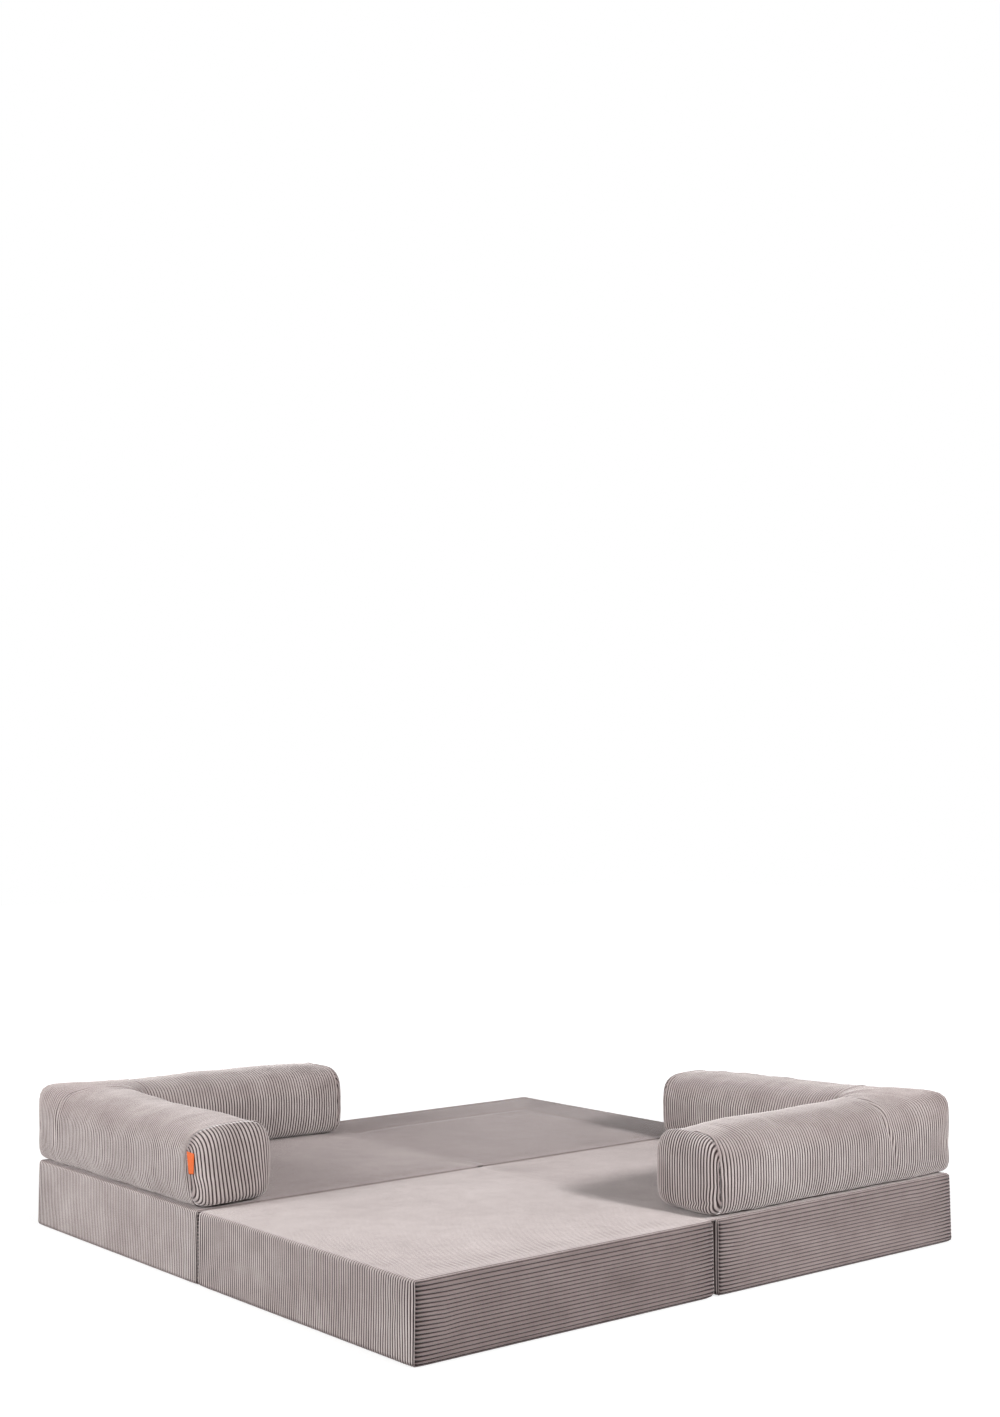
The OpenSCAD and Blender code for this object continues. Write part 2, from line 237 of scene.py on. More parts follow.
def corduroy_material():
    """Cut-pile corduroy. Its UV map counts wales and metres along; shade: pile lie, painted light.
    """
    material, tree, shader = new_material("corduroy_pile")
    uv = add_node(tree, "ShaderNodeUVMap", uv_map="wales").outputs["UV"]
    across, along, _ = add_node(tree, "ShaderNodeSeparateXYZ", {"Vector": uv}).outputs
    off_middle = maths(tree, "ABSOLUTE", maths(tree, "SUBTRACT", maths(tree, "FRACT", across), 0.5))
    # The ramp paints shade into each wale's valley, darkest at its middle
    between = darker([0.45 * a + 0.55 * b for a, b in zip(PILE_LIGHT, VALLEY_PAINTED_SHADE)], 1)
    pile = colour_ramp(
        tree,
        off_middle,
        (0.0, PILE_LIGHT),
        (0.28, darker(PILE_LIGHT, 0.92)),
        (0.39, between),
        (0.46, VALLEY_PAINTED_SHADE),
    )
    # Single fibres, brushed patches and worn spots: scale, detail, roughness and range of each
    place = add_node(tree, "ShaderNodeTexCoord").outputs["Object"]
    fibres = {
        "X": maths(tree, "MULTIPLY", across, 22.0),
        "Y": maths(tree, "MULTIPLY", along, 900.0),
    }
    fibres = add_node(tree, "ShaderNodeCombineXYZ", fibres).outputs[0]
    tint = add_node(tree, "ShaderNodeAttribute", attribute_name="shade").outputs["Fac"]
    noises = []
    for vector, scale, detail, rough, low, high in (
        (fibres, 1.0, 2.0, 0.5, 0.88, 1.12),
        (place, 7.0, 3.0, 0.6, 0.90, 1.10),
        (place, 34.0, 2.0, 0.5, 0.94, 1.06),
    ):
        values = {"Vector": vector, "Scale": scale, "Detail": detail, "Roughness": rough}
        noises.append(add_node(tree, "ShaderNodeTexNoise", values).outputs["Fac"])
        ends = {"From Min": 0.3, "From Max": 0.7, "To Min": low, "To Max": high}
        spread = add_node(tree, "ShaderNodeMapRange", {"Value": noises[-1], **ends})
        tint = maths(tree, "MULTIPLY", tint, spread.outputs["Result"])
    # Where the shade, pile lie and painted light together, is lower, the colour is a little redder
    less = maths(tree, "POWER", tint, 1.15)
    tint = add_node(tree, "ShaderNodeCombineXYZ", {"X": tint, "Y": less, "Z": less}).outputs[0]
    shaded = add_node(tree, "ShaderNodeVectorMath", {0: pile, 1: tint}, operation="MULTIPLY")
    set_inputs(
        tree,
        shader,
        {
            "Base Color": shaded.outputs[0],
            "Normal": relief(tree, noises[0], 0.35, 0.0006),
            "Roughness": 0.92,
            "Specular IOR Level": 0.1,
            "Sheen Weight": 1.0,
            "Sheen Roughness": 0.45,
            "Sheen Tint": (1.0, 0.94, 0.93, 1.0),
        },
    )
    return material


corduroy_finish = corduroy_material()


def smooth_weights(at, count, closed=False):
    """Weights of count even values in a smooth line through them, at shares of its length."""
    steps = count if closed else count - 1
    place = np.clip(np.asarray(at, float), 0, 1) * steps
    cell = np.minimum(place.astype(int), steps - 1)
    t = place - cell
    shares = (
        (2 * t**2 - t - t**3) / 2,
        (2 - 5 * t**2 + 3 * t**3) / 2,
        (t + 4 * t**2 - 3 * t**3) / 2,
        (t**3 - t**2) / 2,
    )
    weights = np.zeros((len(place), count))
    for k, share in enumerate(shares):
        index = cell + k - 1
        index = index % count if closed else np.clip(index, 0, count - 1)
        np.add.at(weights, (np.arange(len(place)), index), share)
    return weights


def smooth_noise(random, at_a, at_b, waves_a, waves_b, closed=False):
    """Soft seeded unevenness over a grid, about -1 to 1, with so many waves each way."""
    values = random.uniform(-1, 1, (waves_a, waves_b))
    return smooth_weights(at_a, waves_a) @ values @ smooth_weights(at_b, waves_b, closed).T


def wale_stations(length, count, half=0.5):
    """Places along a length of so many wales, and the wales counted there from half a wale on."""
    counted = sorted(
        {half, half + count}
        | {k + f for k in range(count + 1) for f in ACROSS_WALE if half < k + f < half + count}
    )
    counted = np.array(counted)
    return (counted - half) * length / count, counted


def wale_height(counted, pinch=0.0):
    """Height of a wale's round, from 0 in a valley to 1 on top. A seam's pinch narrows it."""
    return (1 - np.abs(2 * (counted % 1) - 1) ** (2.5 - 1.4 * pinch)) ** 0.6


def valley_shade_count(counted, pinch):
    """Wales counted for the UV map, with more of each in its painted valley shade by pinch."""
    part = counted % 1 - 0.5
    return counted - part + np.sign(part) * np.minimum(np.abs(part) * (1 + pinch), 0.5)


def wale_map(counted, along):
    """The UV map over a grid: wales counted across, and metres along them."""
    return np.stack(np.broadcast_arrays(counted, along), -1)


def two_ended(length, near, step):
    """Places from both ends of a length inwards, with even steps between."""
    near = np.array(near)
    steps = max(2, round((length - 2 * near[-1]) / step))
    middle = np.linspace(near[-1], length - near[-1], steps + 1)
    return np.unique(np.round(np.concatenate([near, middle, length - near]), 7))


class Panels:
    """The panels of one piece of cloth work: points, wale counts, painted and pile shades, faces.
    """

    def __init__(self):
        self.points, self.wales, self.shades = [], [], []
        self.corners, self.sizes, self.count = [], [], 0

    def add(self, points, wales, shades, faces=None):
        """Adds a panel: a grid of points, or a list of them with its faces."""
        if faces is None:
            rows, columns = points.shape[:2]
            a = np.arange(rows - 1)[:, None] * columns + np.arange(columns - 1)[None]
            corners = np.stack([a, a + 1, a + columns + 1, a + columns], -1).reshape(-1)
            sizes = np.full(len(corners) // 4, 4)
        else:
            corners = np.array([i for face in faces for i in face])
            sizes = np.array([len(face) for face in faces])
        self.corners.append(corners + self.count)
        self.sizes.append(sizes)
        self.points.append(points.reshape(-1, 3))
        self.wales.append(np.broadcast_to(wales, points.shape[:-1] + (2,)).reshape(-1, 2))
        self.shades.append(np.broadcast_to(shades, points.shape[:-1]).reshape(-1))
        self.count += len(self.points[-1])

    def add_rim(self, front, back, wales, shades):
        """Closes the gap between the edges of a sheet's two sides."""
        for edge in ((0,), (-1,), (slice(None), 0), (slice(None), -1)):
            self.add(np.stack([front[edge], back[edge]]), wales, shades)

    def joined(self):
        """The panels joined where their edges meet.

        These are all points, the first at each place, the place of each, and the faces' corners,
        their sizes and the points that their corners come from.
        """
        points = np.concatenate(self.points)
        places = np.round(points * 1e6 + 0.2).astype(np.int64)
        _, first, where = np.unique(places, axis=0, return_index=True, return_inverse=True)
        where, source = where.reshape(-1), np.concatenate(self.corners)
        sizes = np.concatenate(self.sizes)
        corners, starts = where[source], np.cumsum(sizes) - sizes
        previous = np.roll(corners, 1)
        previous[starts] = corners[starts + sizes - 1]
        face = np.repeat(np.arange(len(sizes)), sizes)
        kept = corners != previous
        left = np.bincount(face[kept], minlength=len(sizes))
        kept &= (left > 2)[face]
        return points, first, where, corners[kept], left[left > 2], source[kept]

    def sewn(self, name, mirror=(1, 1)):
        """One mesh object of all the panels, joined where their edges meet."""
        points, first, _, corners, sizes, source = self.joined()
        mesh = bpy.data.meshes.new(name)
        mesh.vertices.add(len(first))
        mesh.vertices.foreach_set("co", (points[first] * [*mirror, 1]).astype(np.float32).ravel())
        mesh.loops.add(len(corners))
        mesh.loops.foreach_set("vertex_index", corners.astype(np.int32))
        mesh.polygons.add(len(sizes))
        mesh.polygons.foreach_set("loop_start", (np.cumsum(sizes) - sizes).astype(np.int32))
        mesh.polygons.foreach_set("use_smooth", np.ones(len(sizes), bool))
        layer = mesh.uv_layers.new(name="wales")
        layer.data.foreach_set("uv", np.concatenate(self.wales)[source].astype(np.float32).ravel())
        shade = mesh.attributes.new("shade", "FLOAT", "CORNER")
        shade.data.foreach_set("value", np.concatenate(self.shades)[source].astype(np.float32))
        mesh.update(calc_edges=True)
        mesh.validate()
        piece = bpy.data.objects.new(name, mesh)
        bpy.context.scene.collection.objects.link(piece)
        face_outwards(piece)
        return piece


def face_outwards(piece):
    """Turns every face of a closed piece outwards."""
    bpy.ops.object.select_all(action="DESELECT")
    bpy.context.view_layer.objects.active = piece
    piece.select_set(True)
    bpy.ops.object.mode_set(mode="EDIT")
    bpy.ops.mesh.select_all(action="SELECT")
    bpy.ops.mesh.normals_make_consistent(inside=False)
    bpy.ops.object.mode_set(mode="OBJECT")
    piece.select_set(False)
    solid = bmesh.new()
    solid.from_mesh(piece.data)
    if solid.calc_volume(signed=True) < 0:
        bmesh.ops.reverse_faces(solid, faces=solid.faces)
        solid.to_mesh(piece.data)
    solid.free()


def stitch(first, second, heights_first, heights_second):
    """Triangles between two edges of a seam whose points aren't level with each other."""
    a = b = 0
    faces = []
    while a < len(first) - 1 or b < len(second) - 1:
        last_a, last_b = a == len(first) - 1, b == len(second) - 1
        if last_b or (not last_a and heights_first[a + 1] <= heights_second[b + 1]):
            faces.append([first[a], first[a + 1], second[b]])
            a += 1
        else:
            faces.append([first[a], second[b + 1], second[b]])
            b += 1
    return faces


def swell(points, corners, sizes, reach, still=()):
    """Lets cloth swell round its filling, and returns each point's move, held to about reach.

    The filling's corners keep the seams from being drawn in, so little of an inward move is left.
    """
    mesh = bpy.data.meshes.new("swelling")
    faces = [face.tolist() for face in np.split(corners, np.cumsum(sizes)[:-1])]
    mesh.from_pydata(points.tolist(), [], faces)
    cloth = bpy.data.objects.new("swelling", mesh)
    bpy.context.scene.collection.objects.link(cloth)
    face_outwards(cloth)
    outwards = np.array([vertex.normal for vertex in mesh.vertices])
    modifier = cloth.modifiers.new("Cloth", "CLOTH")
    if len(still):
        held = cloth.vertex_groups.new(name="held")
        held.add([int(i) for i in still], 1.0, "REPLACE")
        modifier.settings.vertex_group_mass = "held"
    settings = modifier.settings
    settings.quality = 6
    settings.mass = 0.3
    settings.tension_stiffness = settings.compression_stiffness = 12
    settings.shear_stiffness, settings.bending_stiffness = 5, 0.6
    settings.use_pressure, settings.uniform_pressure_force = True, 4
    settings.effector_weights.gravity = 0
    for tick in range(1, 21):
        bpy.context.scene.frame_set(tick)
    swollen = cloth.evaluated_get(bpy.context.evaluated_depsgraph_get()).to_mesh()
    after = np.zeros(len(points) * 3, np.float32)
    swollen.vertices.foreach_get("co", after)
    bpy.data.objects.remove(cloth)
    bpy.data.meshes.remove(mesh)
    bpy.context.scene.frame_set(1)
    move = after.reshape(-1, 3).astype(float) - points
    move -= 0.85 * np.minimum((move * outwards).sum(1, keepdims=True), 0) * outwards
    far = np.maximum(np.linalg.norm(move, axis=1, keepdims=True), 1e-9)
    return move * reach * np.tanh(far / reach) / far


# Each face of a pad: the axis that it faces, its side, and the two axes that span it
PAD_FACES = {
    "top": (2, 1, 0, 1),
    "bottom": (2, 0, 0, 1),
    "fold": (0, 0, 1, 2),
    "side": (0, 1, 1, 2),
    "inner": (1, 0, 0, 2),
    "outer": (1, 1, 0, 2),
}


def square_points(face, along, up):
    """Points of a face of the pad before its edges are rounded."""
    axis, side, first, second = PAD_FACES[face]
    points = np.zeros((len(along), len(up), 3))
    points[..., axis] = (PAD_LOW, PAD_HIGH)[side][axis]
    points[..., first], points[..., second] = np.asarray(along)[:, None], np.asarray(up)[None]
    return points


def rounded(points):
    """The pad's form at its square-edged points, and which way it faces there."""
    tall = np.where(points[..., 2] > PAD_HIGH[2] / 2, TOP_ROUND, FOOT_ROUND)
    reach = np.stack([np.full(tall.shape, PLAN_ROUND), np.full(tall.shape, PLAN_ROUND), tall], -1)
    heart = np.clip(points, PAD_LOW + reach, PAD_HIGH - reach)
    out = (points - heart) / reach
    out /= np.linalg.norm(out, axis=-1, keepdims=True)
    form, normal = heart + out * reach, out / reach
    normal /= np.linalg.norm(normal, axis=-1, keepdims=True)
    share = (points - PAD_LOW) / (PAD_HIGH - PAD_LOW)
    belly = np.sin(np.pi * np.clip(share[..., 2], 0, 1))
    for axis, other in ((0, 1), (1, 0)):
        form[..., axis] -= DRAW_IN * belly * np.sin(np.pi * share[..., other]) * normal[..., axis]
    edge = np.minimum(points - PAD_LOW, PAD_HIGH - points)[..., :2]
    rise = 1 - (1 - np.clip((edge - PLAN_ROUND) / CROWN_BAND, 0, 1)) ** 2
    form[..., 2] += PAD_CROWN * rise[..., 0] * rise[..., 1] * (normal[..., 2] > 0.9)
    return form, normal


def swollen_faces(seed):
    """How far the filling pushes each face of a pad, as grids of moves over the face."""
    cells = {0: SWELL_CELLS, 1: SWELL_CELLS, 2: 5}
    panels, size = Panels(), {}
    for face, (_, _, first, second) in PAD_FACES.items():
        along = np.linspace(PAD_LOW[first], PAD_HIGH[first], cells[first] + 1)
        up = np.linspace(PAD_LOW[second], PAD_HIGH[second], cells[second] + 1)
        size[face] = (len(along), len(up))
        panels.add(rounded(square_points(face, along, up))[0], 0, 0)
    points, first, where, corners, sizes, _ = panels.joined()
    start = points[first] + np.random.default_rng(seed).normal(0, 0.0004, (len(first), 3))
    still = np.flatnonzero(points[first][:, 2] < 0.004)
    move = swell(start, corners, sizes, PAD_SWELL, still)[where]
    parts = np.split(move, np.cumsum([a * b for a, b in size.values()])[:-1])
    return {face: part.reshape(*size[face], 3) for face, part in zip(size, parts)}


# Edges that the use has worn rounder: the two axes that meet there, their sides, and the radius
WORN_EDGES = {
    "front_left": [((0, 2), (0, 0), 0.024)],
    "front_right": [((0, 2), (0, 0), 0.010)],
    "rear_left": [((0, 2), (0, 0), 0.014)],
    "rear_right": [((0, 2), (0, 0), 0.020), ((0, 1), (1, 1), 0.034)],
}


def soft_form(pad, face, points):
    """The pad's form with its swelling and wear, at square-edged points of one face."""
    _, _, first, second = PAD_FACES[face]
    form, normal = rounded(points)
    share = (points - PAD_LOW) / (PAD_HIGH - PAD_LOW)
    grid = pushes[pad][face]
    along = smooth_weights(share[:, 0, first], grid.shape[0])
    up = smooth_weights(share[0, :, second], grid.shape[1])
    form += np.einsum("ia,abk,jb->ijk", along, grid, up, optimize=True)
    form = np.maximum(form, PAD_LOW)
    for axes, sides, radius in WORN_EDGES[pad]:
        reach = []
        for axis, side in zip(axes, sides):
            to_edge = PAD_HIGH[axis] - form[..., axis] if side else form[..., axis] - PAD_LOW[axis]
            reach.append(np.maximum(radius - to_edge, 0))
        far = np.maximum(np.hypot(*reach), 1e-9)
        over = np.where((reach[0] > 0) & (reach[1] > 0), np.maximum(far - radius, 0), 0)
        for axis, side, off in zip(axes, sides, reach):
            form[..., axis] -= (1 if side else -1) * over * off / far
    return form, normal


# Where a bolster has lain round the far corner of the rear right pad, and how deep it has pressed
DENT_FROM = (0.595, 0.560)
DENT_DEPTH = 0.0024
BAND_DEPTH = 0.0012


def bolster_dent(form):
    """The soft valley that a bolster has left, from 0 to 1, and what lies outside it."""
    off = np.maximum(form[..., 0] - DENT_FROM[0], form[..., 1] - DENT_FROM[1])
    return np.exp(-((off / 0.014) ** 2)), np.clip(off / 0.012 + 0.5, 0, 1)


# How light each pad's top, the walls that go on from it and the end panels are: partly the
# pile's lie, partly painted light and shade set face by face
PILE_LIES_AND_PAINTED_LIGHT = {
    "front_left": (1.12, 1.18, 0.59),
    "front_right": (0.89, 1.18, 0.69),
    "rear_left": (0.71, 1.32, 0.64),
    "rear_right": (0.53, 1.18, 0.64),
}
# Places where the cloth is drawn, in from an edge, up from the foot, up to the top and between
EDGE_STEPS = [0, 0.0008, 0.0016, 0.0024, 0.0034, 0.0048, 0.0064, 0.008, 0.011, 0.015, 0.022, 0.032]
FOOT_STEPS = [0, 0.002, 0.004, 0.006, 0.008, 0.010]
TOP_STEPS = [0.138, 0.141, 0.1435, 0.1455, 0.147, 0.1485, 0.150]
FOLD_STEPS = [0.014, 0.022, 0.0324, 0.033, 0.038, 0.045, 0.052, 0.057, 0.0576, 0.075, 0.1, 0.12]
SIDE_STEPS = [0.018, 0.034, 0.05, 0.066, 0.082, 0.098, 0.114, 0.128]


def pad_cover(pad, seed):
    """A pad's cover, made in the right-hand rear quarter and turned to the pad's own."""
    random = np.random.default_rng(seed)
    panels = Panels()
    depth = PAD_HIGH[1] - PAD_LOW[1]
    y, y_wales = wale_stations(depth, 100)
    y = y + PAD_LOW[1]
    drop, z_wales = wale_stations(PAD_HIGH[2], 20)
    z = PAD_HIGH[2] - drop
    x = PAD_LOW[0] + two_ended(PAD_HIGH[0] - PAD_LOW[0], EDGE_STEPS, 0.038)
    rows = {
        "fold": np.array(FOOT_STEPS + FOLD_STEPS + TOP_STEPS),
        "side": np.array(FOOT_STEPS + SIDE_STEPS + TOP_STEPS),
    }

    def evenness(form, waves_a, waves_b, amount):
        at_a, at_b = np.linspace(0, 1, form.shape[0]), np.linspace(0, 1, form.shape[1])
        return amount * smooth_noise(random, at_a, at_b, waves_a, waves_b)

    def painted_foot_shade(up):
        """Painted shade on the last of a wall, where it turns under the pad."""
        return 0.15 + 0.85 * np.clip(up / 0.010, 0, 1)

    # Top and underside, wales along X
    for face in ("top", "bottom"):
        square = square_points(face, x, y)
        form, normal = soft_form(pad, face, square)
        edge = np.minimum(square - PAD_LOW, PAD_HIGH - square)[..., :2].min(-1)
        valley = WALE_DEPTH * (1 - wale_height(y_wales))[None]
        shade = PILE_LIES_AND_PAINTED_LIGHT[pad][0] + evenness(form, 9, 7, 0.04)
        if face == "bottom":
            shade = 0.9 + evenness(form, 9, 7, 0.04)
        elif pad == "rear_right":
            dent, band = bolster_dent(form)
            inside = np.clip((edge - 0.008) / 0.02, 0, 1)
            form[..., 2] -= (DENT_DEPTH * dent + BAND_DEPTH * band) * inside
            beyond = form[..., 1] - DENT_FROM[1] > form[..., 0] - DENT_FROM[0]
            shade += band * np.where(beyond, 0.07, -0.14)
        shade = 1 + (shade - 1) * np.clip(edge / PLAN_ROUND, 0, 1)
        panels.add(form - normal * valley[..., None], wale_map(y_wales[None], x[:, None]), shade)

    # Walls that the same wales run down
    off_corner = np.minimum(y - y[0], y[-1] - y)[:, None]
    for face, fixed in (("fold", PAD_LOW[0]), ("side", PAD_HIGH[0])):
        up = rows[face]
        form, normal = soft_form(pad, face, square_points(face, y, up))
        free = np.clip(np.minimum(up, PAD_HIGH[2] - up) / 0.004, 0, 1)[None]
        pinch = np.exp(-off_corner / 0.010) * free
        near_corner = np.exp(-off_corner / 0.060) * free
        height = wale_height(y_wales[:, None], 0.5 * pinch)
        valley = WALE_DEPTH * (1 - height) * (1 + 0.7 * pinch)
        if face == "fold":
            in_zip = (np.abs(up - ZIP_MIDDLE) < ZIP_HALF)[None]
            in_zip = in_zip & ((y > ZIP_ENDS[0]) & (y < ZIP_ENDS[1]))[:, None]
            valley = np.where(in_zip, ZIP_RECESS, valley)
        shade = PILE_LIES_AND_PAINTED_LIGHT[pad][1] + evenness(form, 24, 5, 0.09)
        # Painted shade in the pinched valleys and at the foot; near the corners lighter, valleys
        # wider
        shade = shade * (1 - 0.4 * pinch * (1 - height))
        shade = shade * (1 + 0.2 * near_corner) * painted_foot_shade(up)[None]
        counted = valley_shade_count(y_wales[:, None], (0.12 + 0.4 * near_corner + 0.2 * pinch) * free)
        wales = wale_map(counted, fixed + PAD_HIGH[2] - up[None])
        panels.add(form - normal * valley[..., None], wales, shade)

    # End panels, whose wales run level, sewn to the walls at the upright corners
    free = np.clip(np.minimum(z, PAD_HIGH[2] - z) / 0.004, 0, 1)[None]
    for face in ("inner", "outer"):
        along = x[1:-1]
        form, normal = soft_form(pad, face, square_points(face, along, z))
        off = np.minimum(along - PAD_LOW[0], PAD_HIGH[0] - along)
        begun = np.clip(off / SEAM_PLACE - 0.5, 0, 1)[:, None]
        pinch = np.exp(-off / 0.014)[:, None] * begun * free
        height = wale_height(z_wales[None], pinch)
        valley = WALE_DEPTH * begun * (1 - height) * (1 + 0.9 * pinch)
        shade = PILE_LIES_AND_PAINTED_LIGHT[pad][2] + evenness(form, 18, 5, 0.04)
        # Painted shade in the pinched valleys at the corners and at the foot
        shade = shade * (1 - 0.9 * pinch * (1 - height)) * painted_foot_shade(z)[None]
        counted = valley_shade_count(z_wales[None] + 200, 0.05 * free + 1.6 * pinch)
        cloth = form - normal * valley[..., None]
        panels.add(cloth, wale_map(counted, along[:, None]), shade)
        for wall, end in (("fold", 0), ("side", -1)):
            up = rows[wall][::-1]
            corner = soft_form(pad, wall, square_points(wall, y, up))[0]
            points = np.concatenate([corner[0 if face == "inner" else -1], cloth[end]])
            first, second = list(range(len(up))), list(range(len(up), len(points)))
            faces = stitch(first, second, PAD_HIGH[2] - up, drop)
            panels.add(points, (0.5, 0.0), 0.85, faces)
    return panels.sewn(f"{pad}_corduroy_cover", PADS[pad])


pushes = {}
for seed, pad in enumerate(PADS):
    pushes[pad] = swollen_faces(11 + seed)
    cover = pad_cover(pad, 11 + seed)
    cover.data.materials.append(corduroy_finish)
    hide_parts(f"{pad}_cover")
    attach(cover, f"{pad}_pad")

# Pad zips: a woven tape, a closed chain of coil teeth and a nickel slider without a pull tab, set
# low in each pad's wall at the fold. The tape is sewn to the cover along both its edges.
TAPE_GREY = (0.30, 0.27, 0.26, 1)
COIL_GREY = (0.36, 0.33, 0.32, 1)
NICKEL = (0.62, 0.60, 0.57, 1)
TOOTH = (0.0031, 0.0012, 0.0015)
TOOTH_STEP = 0.0025
# How far the coil's second row of teeth lies from its first
TOOTH_ROWS = 0.0017

tape_finish = grained_material(
    "woven_tape", TAPE_GREY, 0.7, (0.2, 0.8), 0.85, "Wave", {"Scale": 420.0}, bump=(0.5, 0.0003)
)
moulding = {"Scale": 600.0, "Detail": 2.0}
coil_finish = grained_material(
    "nylon_coil", COIL_GREY, 0.9, (0.3, 0.7), 0.4, "Noise", moulding
)
wear = {"Scale": 900.0, "Detail": 3.0}
nickel_finish = grained_material(
    "brushed_nickel", NICKEL, 0.8, (0.3, 0.7), (0.2, 0.45), "Noise", wear, inputs={"Metallic": 1.0}
)


def coil_tooth():
    """One tooth of a zip's coil, its edges taken off."""
    bpy.ops.object.select_all(action="DESELECT")
    bpy.ops.mesh.primitive_cube_add(size=1)
    tooth = bpy.context.object
    tooth.scale = TOOTH
    bpy.ops.object.transform_apply(scale=True)
    bevel = tooth.modifiers.new("edges", "BEVEL")
    bevel.width, bevel.segments = 0.0003, 1
    bpy.ops.object.modifier_apply(modifier=bevel.name)
    return tooth


def zip_coil(name, node, depth_axis):
    """A chain of teeth in the box of its CAD node, which runs along Y."""
    low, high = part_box(node)
    count = int((high.y - low.y - TOOTH[1]) / TOOTH_STEP)
    coil = coil_tooth()
    coil.name = name
    for offset, number in (((0, TOOTH_STEP, 0), count), ((TOOTH_ROWS, TOOTH_STEP / 2, 0), 2)):
        rows = coil.modifiers.new("rows", "ARRAY")
        rows.use_relative_offset, rows.use_constant_offset = False, True
        rows.constant_offset_displace, rows.count = offset, number
        bpy.ops.object.modifier_apply(modifier=rows.name)
    points = np.array([v.co for v in coil.data.vertices])
    points -= (points.min(0) + points.max(0)) / 2
    if depth_axis == 0:
        points = points[:, [2, 1, 0]] * [-1, 1, 1]
    points += (np.array(low) + np.array(high)) / 2
    coil.data.vertices.foreach_set("co", points.astype(np.float32).ravel())
    coil.data.update()
    bpy.ops.object.shade_smooth_by_angle(angle=math.radians(40))
    coil.data.materials.append(coil_finish)
    coil.select_set(False)
    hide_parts(node)
    return coil


def zip_pieces(start, body, slider_body, depth_axis):
    """A zip's tape, coil and slider."""
    tape = softened_copy(f"{start}_zip_tape", f"{start}_zip_woven_tape", 0.0003, segments=1)
    tape.data.materials.append(tape_finish)
    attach(tape, body)
    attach(zip_coil(f"{start}_zip_coil", f"{start}_zip_chain", depth_axis), body)
    slider = softened_copy(f"{start}_zip_slider", f"{start}_zip_nickel_slider", 0.0003, segments=2)
    slider.data.materials.append(nickel_finish)
    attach(slider, slider_body)


for pad in PADS:
    zip_pieces(pad, f"{pad}_pad", f"{pad}_zip_slider", 0)

# Fold strips: where the top's corduroy runs on from one pad to the next as their hinge. It is the
# same cloth as the tops, so its wales meet theirs.
STRIP_BODIES = {
    "front": ("front_right_pad", "front_left_pad", -1),
    "rear": ("rear_right_pad", "rear_left_pad", 1),
}
STRIP_HALF = 0.017
STRIP_THICK = 0.0014

top_x, top_y = np.linspace(PAD_LOW[0], PAD_HIGH[0], 374), np.linspace(PAD_LOW[1], PAD_HIGH[1], 376)
pad_tops = {
    pad: soft_form(pad, "top", square_points("top", top_x, top_y))[0][..., 2] for pad in PADS
}


def pad_height(pad, x, y):
    """Height of a pad's top cloth at places of its own quarter."""
    top, at_x, at_y = pad_tops[pad], top_x, top_y
    place_x = np.clip((x - at_x[0]) / (at_x[1] - at_x[0]), 0, len(at_x) - 1.001)
    place_y = np.clip((y - at_y[0]) / (at_y[1] - at_y[0]), 0, len(at_y) - 1.001)
    i, j = place_x.astype(int), place_y.astype(int)
    s, t = place_x - i, place_y - j
    near = top[i, j] * (1 - t) + top[i, j + 1] * t
    return near * (1 - s) + (top[i + 1, j] * (1 - t) + top[i + 1, j + 1] * t) * s


def fold_strip(unit):
    """The strip over a unit's fold, blended from one pad to the other."""
    right_body, left_body, side = STRIP_BODIES[unit]
    panels = Panels()
    depth = PAD_HIGH[1] - PAD_LOW[1]
    y, y_wales = wale_stations(depth, 100)
    inside = (y > 0.008) & (y < depth - 0.008)
    y, y_wales = y[inside] + PAD_LOW[1], y_wales[inside]
    x = np.linspace(-STRIP_HALF, STRIP_HALF, 19)
    # It lies on both tops, its ends sunk into their pile, and spans the round edges between them
    beyond = np.maximum(np.abs(x), PAD_LOW[0] + PLAN_ROUND + 0.001)
    lift = np.interp(np.abs(x), [0, 0.010, 0.0125, STRIP_HALF], [0.0001, 0.0003, 0.0002, -0.0006])
    points = np.zeros((len(x), len(y), 3))
    points[..., 0], points[..., 1] = x[:, None], y[None]
    for half, pad in ((x < 0, f"{unit}_left"), (x >= 0, f"{unit}_right")):
        places = np.broadcast_arrays(beyond[half][:, None], y[None])
        points[half, :, 2] = pad_height(pad, *places) + lift[half][:, None]
    points[..., 2] -= WALE_DEPTH * (1 - wale_height(y_wales))[None]
    under = points - [0, 0, STRIP_THICK]
    # The strip's tone blends the two tops' pile lie and painted light
    left, right = PILE_LIES_AND_PAINTED_LIGHT[f"{unit}_left"][0], PILE_LIES_AND_PAINTED_LIGHT[f"{unit}_right"][0]
    shade = np.interp(x, [-STRIP_HALF, STRIP_HALF], [left, right])[:, None] * np.ones((1, len(y)))
    wales = wale_map(y_wales[None], x[:, None])
    panels.add(points, wales, shade)
    panels.add(under, wales, shade)
    panels.add_rim(points, under, (0.5, 0.0), (left + right) / 2)
    strip = panels.sewn(f"{unit}_fold_corduroy", (1, side))
    strip.data.materials.append(corduroy_finish)
    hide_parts(f"{unit}_fold_strip")
    if unit == "front":
        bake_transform(strip)
    else:
        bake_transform(strip)


for unit in STRIP_BODIES:
    fold_strip(unit)

# Bolster covers: corduroy tubes sewn up in the shape of an L, with the wales round the tube like
# hoops. They lie loose on a pad, and their underside follows the pad's top.
BOLSTERS = {"left": (-1, 1), "right": (1, -1)}
BOLSTER_PADS = {"left": "rear_left", "right": "front_right"}
